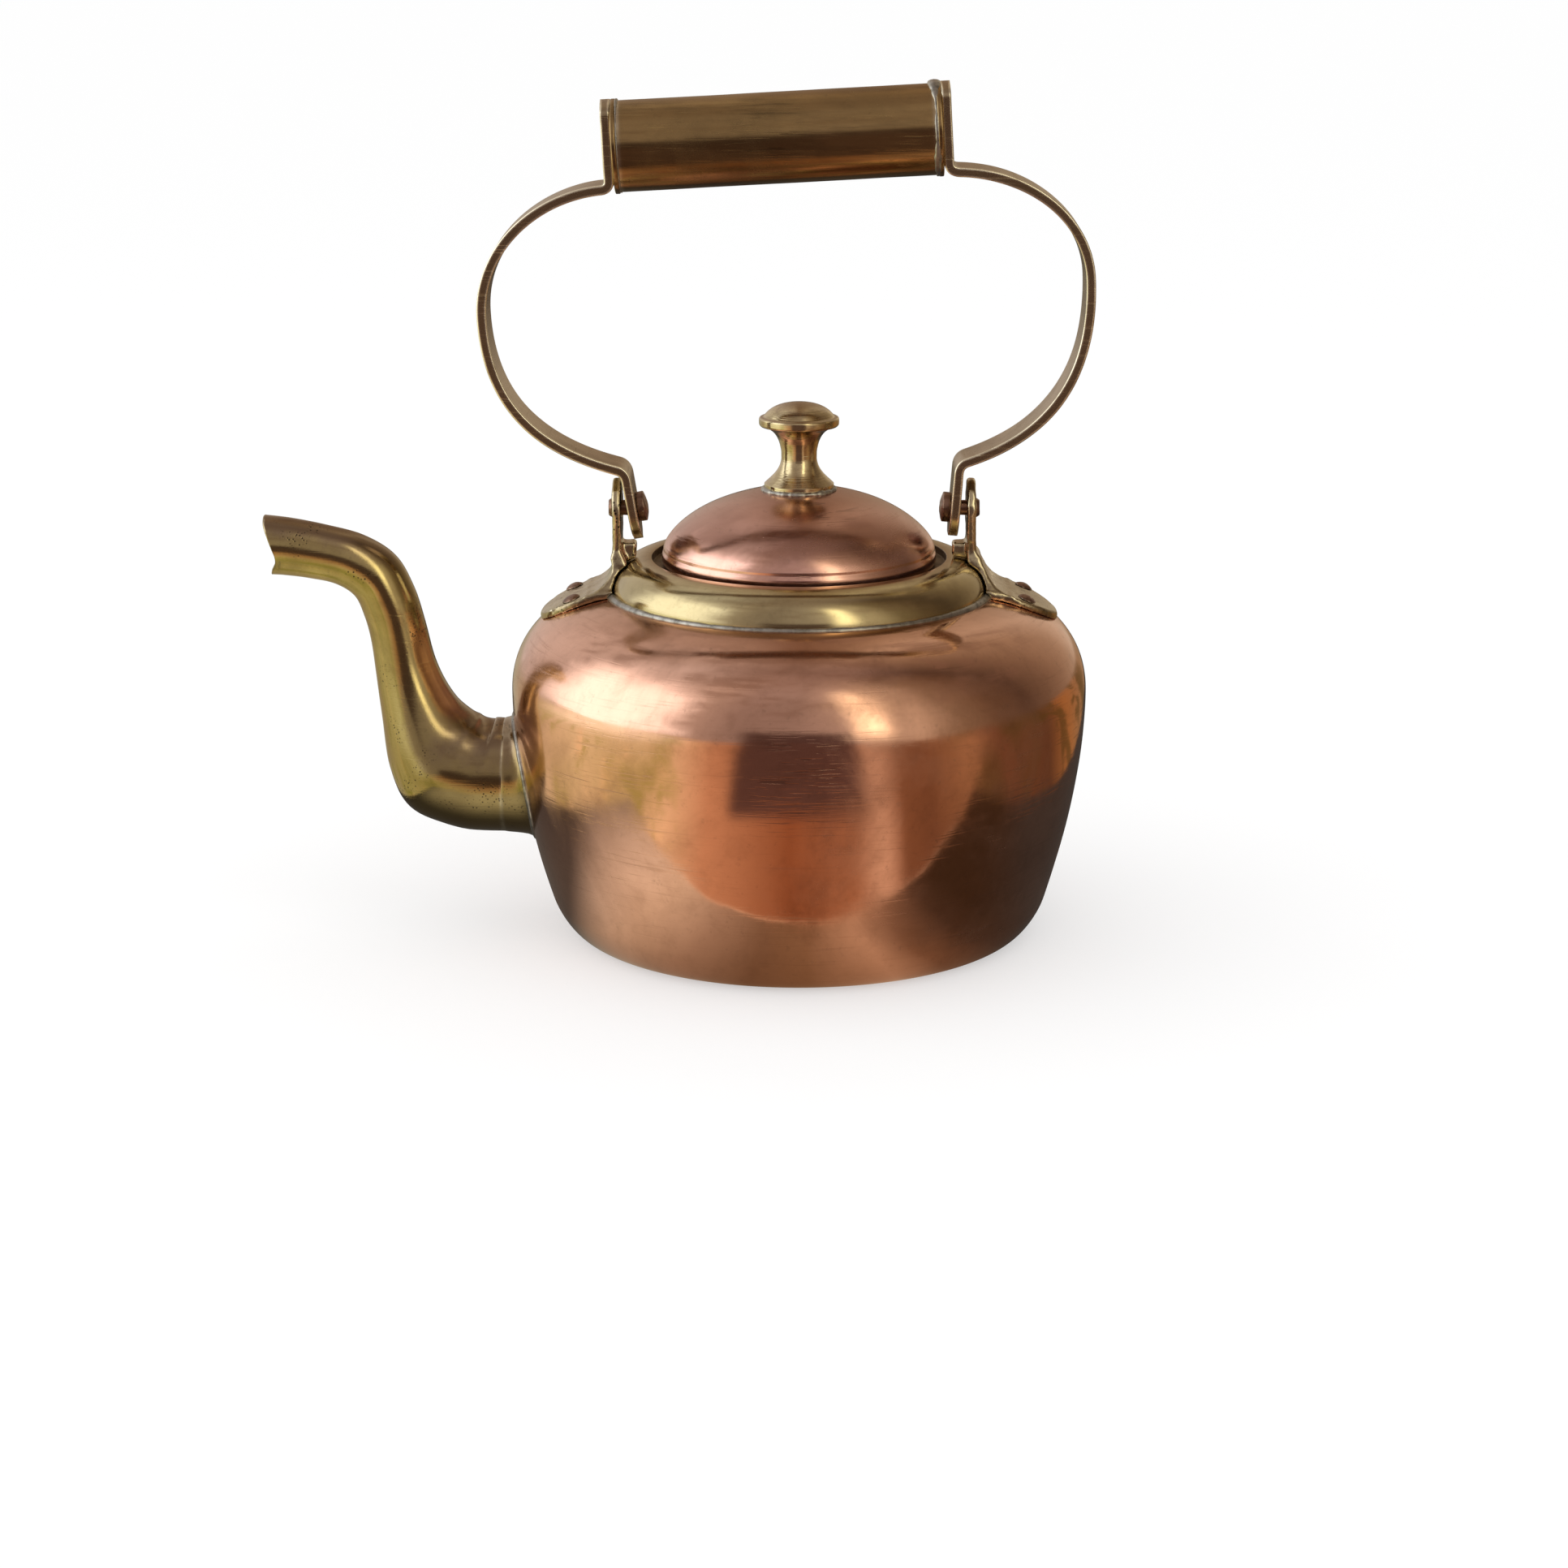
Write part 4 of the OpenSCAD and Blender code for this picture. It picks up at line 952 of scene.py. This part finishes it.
def build_grip(s):
    grip = handle_places(s)[2]
    along = grip @ Matrix.Rotation(pi / 2, 4, "Y")
    half = s.grip_l / 2

    def worn(p):
        r = sqrt(p.x * p.x + p.y * p.y)
        shift = 0.00022 * lumps(p, 20.0, 14.0) + 0.00005 * lumps(p, 75.0, 3.0) - 0.00016
        return Vector((p.x * (1 + shift / r), p.y * (1 + shift / r), p.z))

    outer = [(s.grip_r, -half + s.grip_l * k / 60) for k in range(61)]
    inner = [(s.grip_r - s.grip_t, z) for r, z in outer[::-6]]
    tube = turned(outer + inner, 128, worn)
    piece("Grip_tube", tube, "Brass_grip", "handle", ["grip_tube"], 50, along)
    disc_r = s.grip_r + 0.4 * MM
    for hand, name in ((LEFT, "left"), (RIGHT, "right")):
        a, b = half, half + 1.6 * MM
        rows = rounded([(0, a), (disc_r, a), (disc_r, b), (0, b)], {1: 0.45 * MM, 2: 0.45 * MM}, 5)
        rows = [(r, hand * z) for r, z in rows]
        piece("Grip_end_" + name, turned(rows, 128), "Brass_grip", "handle", ["grip_end_" + name],
              45, along)

        def seam(a):
            # Over the joint of tube and disc, mostly at the top; most of it is on the right
            out = along.to_3x3() @ Vector((cos(a), sin(a), 0))
            axis = along.to_3x3() @ Vector((0, 0, hand))
            uneven = 0.30 * lumps(out * 0.015, 190.0, 7.0 + hand) + 0.25 * lumps(out * 0.015, 520.0, 3.0)
            top = max(0.0, out.z) ** 5 * (1.25 if hand == RIGHT else 0.8)
            low = max(0.0, -out.y * 0.8 - out.z * 0.6) ** 12 * (0.8 if hand == RIGHT else 0.2)
            size = (0.55 if hand == LEFT else 1.0) * max(0.16, 0.34 + uneven + top + low)
            return along.translation + out * (s.grip_r + 0.05 * MM) + axis * (half - 0.3 * MM), out, size

        solder_bead("Grip_solder_" + name, "handle", 200, (1.3 if hand == RIGHT else 0.8) * MM, 0.62 * MM, seam)


BRACKET_VOXEL, FOOT_RIVET_VOXEL, PIVOT_RIVET_VOXEL = 0.36 * MM, 0.2 * MM, 0.22 * MM
BRACKET_PASSES, RIVET_PASSES = 34, 6


def build_brackets():
    for name in ("left", "right"):
        soften("bracket_" + name, "Brass_bracket", BRACKET_VOXEL, BRACKET_PASSES, 0.5 * MM, 0.005)
        soften("bracket_rivets_" + name, "Copper_rivet", FOOT_RIVET_VOXEL, RIVET_PASSES, 0.25 * MM,
               0.002)


# ---- Stage ----


def lamp(name, azimuth, elevation, away, size, power):
    """A soft panel that lights the floor. Azimuth 0 is towards -Y and 90 towards +X."""
    a, e = radians(azimuth), radians(elevation)
    way = Vector((sin(a) * cos(e), -cos(a) * cos(e), sin(e)))
    light = bpy.data.lights.new(name, "AREA")
    light.shape = "RECTANGLE"
    light.size, light.size_y = size
    light.energy = power
    made = bpy.data.objects.new(name, light)
    made.location = Vector((0, 0, 0.1)) + way * away
    made.rotation_euler = way.to_track_quat("Z", "Y").to_euler()
    made.visible_glossy = False
    bpy.context.scene.collection.objects.link(made)


def colours(b, at, stops, kind="EASE"):
    """A row of colours over 0 to 1."""
    ramp = b.add("ValToRGB", {0: at})
    ramp.color_ramp.interpolation = kind
    for k, (place, shade) in enumerate(stops):
        stop = ramp.color_ramp.elements[k] if k < 2 else ramp.color_ramp.elements.new(place)
        stop.position, stop.color = place, rgba(shade)
    return ramp.outputs[0]


def round_stops(rows):
    """Stops by azimuth in degrees turned into stops over 0 to 1."""
    return [((turn + 180) / 360, shade) for turn, shade in rows]


def within(b, value, low, high, soft):
    """1 between low and high, fading to 0 over soft on either side."""
    rise, fall = b.band(value, low - soft, low + soft), b.band(value, high - soft, high + soft, 1.0, 0.0)
    return b.sum("MULTIPLY", rise, fall)


def round_from(b, x, y):
    """Azimuth in degrees, 0 towards -Y and 90 towards +X."""
    return b.sum("MULTIPLY", b.sum("ARCTAN2", x, b.sum("MULTIPLY", y, -1.0)), 180 / pi)


FLOOR_ROUND = [(-180, (0.34, 0.27, 0.18)), (-150, (0.50, 0.50, 0.36)), (-120, (0.52, 0.42, 0.28)),
               (-88, (0.84, 0.80, 0.50)), (-62, (0.66, 0.62, 0.32)), (-44, (0.90, 0.74, 0.48)),
               (-30, (0.64, 0.38, 0.22)), (-3, (0.30, 0.12, 0.05)), (18, (0.46, 0.24, 0.13)),
               (27, (0.50, 0.30, 0.19)), (34, (0.24, 0.12, 0.06)), (44, (0.22, 0.11, 0.055)), (62, (0.42, 0.25, 0.13)),
               (76, (0.17, 0.08, 0.04)), (104, (0.12, 0.06, 0.03)), (122, (0.36, 0.18, 0.06)),
               (180, (0.34, 0.27, 0.18))]
TABLE_ACROSS = [(0.0, (0.16, 0.16, 0.15)), (0.12, (0.50, 0.47, 0.40)), (0.30, (0.84, 0.80, 0.66)),
                (0.40, (0.80, 0.74, 0.58)), (0.52, (0.42, 0.34, 0.25)), (0.62, (0.22, 0.15, 0.09)),
                (0.69, (0.27, 0.18, 0.10)), (0.79, (0.56, 0.41, 0.28)), (0.85, (0.24, 0.15, 0.09)),
                (0.93, (0.08, 0.05, 0.03)), (1.0, (0.05, 0.03, 0.015))]
ROOM_ROUND = [(-180, (0.30, 0.20, 0.13)), (-168, (0.62, 0.54, 0.46)), (-150, (0.72, 0.68, 0.64)),
              (-128, (0.66, 0.64, 0.62)), (-112, (0.74, 0.74, 0.74)), (-50, (0.55, 0.49, 0.44)),
              (-25, (0.38, 0.33, 0.31)), (0, (0.42, 0.37, 0.35)), (20, (0.56, 0.50, 0.45)),
              (48, (0.62, 0.54, 0.42)), (64, (0.26, 0.20, 0.13)), (84, (0.15, 0.10, 0.06)),
              (102, (0.09, 0.06, 0.04)), (128, (0.25, 0.19, 0.13)), (148, (0.42, 0.34, 0.24)),
              (160, (0.64, 0.55, 0.42)), (170, (0.45, 0.35, 0.24)), (180, (0.30, 0.20, 0.13))]


def table_look(b):
    """What the metals see of the floor, a painted reflection that the floor shows as a glow to glossy rays only: a
    near board, its lit edge, and warm floor beyond it.
    """
    at = b.add("TexCoord").outputs["Object"]
    parts = b.add("SeparateXYZ", {0: at}).outputs
    x, y = parts["X"], parts["Y"]
    turn = round_from(b, x, y)
    beyond = colours(b, b.share(turn, -180.0, 180.0), round_stops(FLOOR_ROUND), "LINEAR")
    low_way = b.add("VectorMath", {0: b.add("CombineXYZ", {"X": x, "Y": y, "Z": -0.07}).outputs[0]},
                    operation="NORMALIZE").outputs[0]
    leafy = b.sum("MULTIPLY", b.band(b.noise(low_way, 7.0, 5.0, 0.65, 0.8), 0.50, 0.55),
                  within(b, turn, -118, -42, 8.0))
    beyond = b.mix(b.sum("MULTIPLY", leafy, 0.8), beyond, (0.40, 0.42, 0.09, 1))
    patches = b.band(b.noise(low_way, 9.0, 3.0, 0.5, 0.9), 0.56, 0.60)
    lit = b.sum("MULTIPLY", patches, within(b, turn, -95, -42, 5.0))
    beyond = b.mix(b.sum("MULTIPLY", lit, 0.6), beyond, (1.05, 0.86, 0.52, 1))
    strands = b.band(b.noise(low_way, 6.0, 4.0, 0.6, 0.5), 0.50, 0.54)
    branch = b.sum("MULTIPLY", strands, within(b, turn, 60, 150, 8.0))
    beyond = b.mix(b.sum("MULTIPLY", branch, 0.75), beyond, (0.10, 0.07, 0.02, 1))
    beyond = b.mix(b.sum("MULTIPLY", within(b, turn, 20, 29, 4.0), 0.6), beyond, (0.84, 0.64, 0.47, 1))
    away = b.add("VectorMath", {0: at}, operation="LENGTH").outputs["Value"]
    sill = b.sum("MULTIPLY", within(b, turn, -112.0, -52.0, 16.0), b.band(away, 0.26, 0.9))
    beyond = b.mix(b.sum("MULTIPLY", sill, 0.8), beyond, (1.35, 1.4, 1.15, 1))
    far = colours(b, b.share(turn, -180.0, 180.0), round_stops(ROOM_ROUND), "LINEAR")
    beyond = b.mix(b.sum("MULTIPLY", b.band(away, 0.7, 3.0), b.sum("SUBTRACT", 1.0, sill)), beyond, far)
    figure = b.sum("MULTIPLY", within(b, turn, -22.0, 21.0, 3.0), b.band(away, 0.190, 0.225))
    beyond = b.mix(figure, beyond, (0.11, 0.065, 0.055, 1))
    board = colours(b, b.share(x, -0.19, 0.09), TABLE_ACROSS, "LINEAR")
    board = b.mix(b.band(y, -0.072, -0.008, 0.0, 0.95), board, (0.055, 0.05, 0.045, 1))
    front = b.band(b.sum("ADD", y, b.sum("MULTIPLY", b.noise(at, 30.0, 3.0), 0.006)), -0.1095, -0.1065)
    board_at = b.sum("MULTIPLY", front, within(b, x, -0.185, 0.20, 0.004))
    seen = b.mix(board_at, beyond, board)
    edge = b.sum("MULTIPLY", within(b, front, 0.25, 0.75, 0.2), within(b, x, -0.16, 0.15, 0.02))
    return b.mix(b.sum("MULTIPLY", edge, 0.6), seen, (1.0, 0.75, 0.52, 1))


def room_look(b):
    """What the metals see of the room: a broad window on the left, a narrow one on the right, warm dim walls."""
    way = b.add("TexCoord").outputs["Generated"]
    parts = b.add("SeparateXYZ", {0: way}).outputs
    turn = round_from(b, parts["X"], parts["Y"])
    up = b.sum("MULTIPLY", b.sum("ARCSINE", parts["Z"]), 180 / pi)
    walls = colours(b, b.share(turn, -180.0, 180.0), round_stops(ROOM_ROUND), "LINEAR")
    walls = b.mix(b.band(up, 60.0, 84.0), walls, (0.34, 0.28, 0.25, 1))
    figure = b.sum("MULTIPLY", within(b, turn, -22.0, 20.0, 4.0), b.band(up, 8.0, 15.0, 1.0, 0.0))
    walls = b.mix(figure, walls, (0.10, 0.065, 0.06, 1))
    ragged = b.sum("MULTIPLY", b.sum("SUBTRACT", b.noise(way, 5.0, 4.0, 0.6, 0.5), 0.5), 22.0)
    rough_turn, rough_up = b.sum("ADD", turn, ragged), b.sum("ADD", up, ragged)
    broad = b.sum("MULTIPLY", within(b, rough_turn, -114.0, -54.0, 14.0), within(b, rough_up, -8.0, 48.0, 11.0))
    narrow = b.sum("MULTIPLY", within(b, turn, 23.0, 35.0, 5.0), within(b, rough_up, 4.0, 60.0, 9.0))
    beams = b.sum("MULTIPLY", b.band(b.noise(way, 4.2, 5.0, 0.62, 1.2), 0.50, 0.60), b.band(up, 20.0, 40.0))
    walls = b.mix(b.sum("MULTIPLY", beams, 0.55), walls, (0.23, 0.16, 0.12, 1))
    seen = b.mix(broad, walls, (1.9, 1.98, 2.0, 1))
    return b.mix(narrow, seen, (2.6, 2.5, 1.9, 1))


def seen_by_metal(b, output, plain, warm):
    """Camera and diffuse rays see the plain look; reflections see the warm one."""
    mixed = b.add("MixShader", {0: b.add("LightPath").outputs["Is Glossy Ray"], 1: plain, 2: warm})
    b.tree.links.new(mixed.outputs[0], b.add(output).inputs["Surface"])


FLOOR_HALF = 30.0
FLOOR_GAP = 0.2 * MM
CAMERA_AT = Vector((0, -1.2, 0.3759))
CAMERA_AIM = Vector((0, 0, 0.09))
LENS, SENSOR = 85.5, 36
SHIFT_X, SHIFT_Y = -0.0096, -0.0792


def build_stage():
    scene = bpy.context.scene
    scene.view_settings.view_transform = "Standard"
    mesh = bpy.data.meshes.new("Floor")
    corners = [(-FLOOR_HALF, -FLOOR_HALF, 0), (FLOOR_HALF, -FLOOR_HALF, 0), (FLOOR_HALF, FLOOR_HALF, 0),
               (-FLOOR_HALF, FLOOR_HALF, 0)]
    mesh.from_pydata(corners, [], [(0, 1, 2, 3)])
    floor = bpy.data.objects.new("Floor", mesh)
    floor.location.z = -FLOOR_GAP
    scene.collection.objects.link(floor)
    made = bpy.data.materials.new("Pale_floor")
    made.use_nodes = True
    made.node_tree.nodes.clear()
    b = Board(made.node_tree)
    lit = b.add("BsdfDiffuse", {"Color": (0.985, 0.985, 0.985, 1)}).outputs[0]
    glow = b.add("Emission", {"Color": (1, 1, 1, 1), "Strength": 1.0}).outputs[0]
    pale = b.add("MixShader", {0: 0.5, 1: lit, 2: glow}).outputs[0]
    # Painted reflection: to glossy rays the floor glows with a painted table, lit patches and a dark figure
    warm = b.add("Emission", {"Color": table_look(b), "Strength": 1.0}).outputs[0]
    seen_by_metal(b, "OutputMaterial", pale, warm)
    mesh.materials.append(made)

    world = bpy.data.worlds.new("Studio")
    scene.world = world
    world.use_nodes = True
    world.node_tree.nodes.clear()
    b = Board(world.node_tree)
    air = b.add("Background", {"Color": (1, 1, 1, 1), "Strength": 1.0}).outputs[0]
    room = b.add("Background", {"Color": room_look(b), "Strength": 1.0}).outputs[0]
    seen_by_metal(b, "OutputWorld", air, room)

    lamp("Soft_left", -86, 42, 1.2, (1.2, 0.8), 1.6)
    lamp("Soft_right", 40, 50, 1.2, (0.8, 0.8), 1.0)

    lens = bpy.data.cameras.new("Camera")
    lens.lens = LENS
    lens.sensor_width = SENSOR
    lens.shift_x, lens.shift_y = SHIFT_X, SHIFT_Y
    lens.dof.use_dof = False
    lens.clip_start, lens.clip_end = 0.05, 100
    camera = bpy.data.objects.new("Camera", lens)
    camera.location = CAMERA_AT
    camera.rotation_euler = (CAMERA_AIM - camera.location).to_track_quat("-Z", "Y").to_euler()
    scene.collection.objects.link(camera)
    scene.camera = camera


# ---- Add-on classes ----


def build_finishes():
    make_effects()
    make_finishes()


class KETTLE_OT_finishes(bpy.types.Operator):
    """Make the shared effects and the metals"""

    bl_idname = "kettle.finishes"
    bl_label = "Metals"

    def execute(self, context):
        build_finishes()
        return {"FINISHED"}


class KETTLE_OT_body(bpy.types.Operator):
    """Build the copper body with its tinned lining"""

    bl_idname = "kettle.body"
    bl_label = "Body"

    def execute(self, context):
        build_body(context.scene.kettle_sizes)
        return {"FINISHED"}


class KETTLE_OT_base(bpy.types.Operator):
    """Finish the base plate and build its brazed seam"""

    bl_idname = "kettle.base"
    bl_label = "Base"

    def execute(self, context):
        build_base(context.scene.kettle_sizes)
        return {"FINISHED"}


class KETTLE_OT_collar(bpy.types.Operator):
    """Build the brass collar and its solder line"""

    bl_idname = "kettle.collar"
    bl_label = "Collar"

    def execute(self, context):
        build_collar(context.scene.kettle_sizes)
        return {"FINISHED"}


class KETTLE_OT_spout(bpy.types.Operator):
    """Build the spout, its foot and its solder line"""

    bl_idname = "kettle.spout"
    bl_label = "Spout"

    def execute(self, context):
        build_spout(context.scene.kettle_sizes)
        return {"FINISHED"}


class KETTLE_OT_lid(bpy.types.Operator):
    """Build the lid, its knob and its solder ring"""

    bl_idname = "kettle.lid"
    bl_label = "Lid"

    def execute(self, context):
        build_lid(context.scene.kettle_sizes)
        return {"FINISHED"}


class KETTLE_OT_brackets(bpy.types.Operator):
    """Round the cast brackets and their rivets"""

    bl_idname = "kettle.brackets"
    bl_label = "Brackets"

    def execute(self, context):
        build_brackets()
        return {"FINISHED"}


class KETTLE_OT_straps(bpy.types.Operator):
    """Build the handle's bars and round the pivot rivets"""

    bl_idname = "kettle.straps"
    bl_label = "Straps"

    def execute(self, context):
        build_straps(context.scene.kettle_sizes)
        return {"FINISHED"}


class KETTLE_OT_grip(bpy.types.Operator):
    """Build the tubular grip, its ends and their solder"""

    bl_idname = "kettle.grip"
    bl_label = "Grip"

    def execute(self, context):
        build_grip(context.scene.kettle_sizes)
        return {"FINISHED"}


class KETTLE_OT_stage(bpy.types.Operator):
    """Build the pale floor, the soft lights and the camera"""

    bl_idname = "kettle.stage"
    bl_label = "Stage"

    def execute(self, context):
        build_stage()
        return {"FINISHED"}


STEPS = [KETTLE_OT_finishes, KETTLE_OT_body, KETTLE_OT_base, KETTLE_OT_collar, KETTLE_OT_spout, KETTLE_OT_lid,
         KETTLE_OT_brackets, KETTLE_OT_straps, KETTLE_OT_grip, KETTLE_OT_stage]


class KETTLE_PT_panel(bpy.types.Panel):
    """Lists the kettle's builders, sizes and colours"""

    bl_label = "Copper kettle"
    bl_idname = "KETTLE_PT_panel"
    bl_space_type = "VIEW_3D"
    bl_region_type = "UI"
    bl_category = "Kettle"

    def draw(self, context):
        for step in STEPS:
            self.layout.operator(step.bl_idname)
        for group in (context.scene.kettle_sizes, context.scene.kettle_finishes):
            box = self.layout.box()
            for key in group.__annotations__:
                box.prop(group, key)


CLASSES = [KettleSizes, KettleFinishes, *STEPS, KETTLE_PT_panel]


def register():
    for made in CLASSES:
        bpy.utils.register_class(made)
    bpy.types.Scene.kettle_sizes = PointerProperty(type=KettleSizes)
    bpy.types.Scene.kettle_finishes = PointerProperty(type=KettleFinishes)


def unregister():
    del bpy.types.Scene.kettle_finishes
    del bpy.types.Scene.kettle_sizes
    for made in reversed(CLASSES):
        bpy.utils.unregister_class(made)


def main():
    register()
    for step in STEPS:
        getattr(bpy.ops.kettle, step.bl_idname.split(".")[1])()


if __name__ == "__main__":
    main()
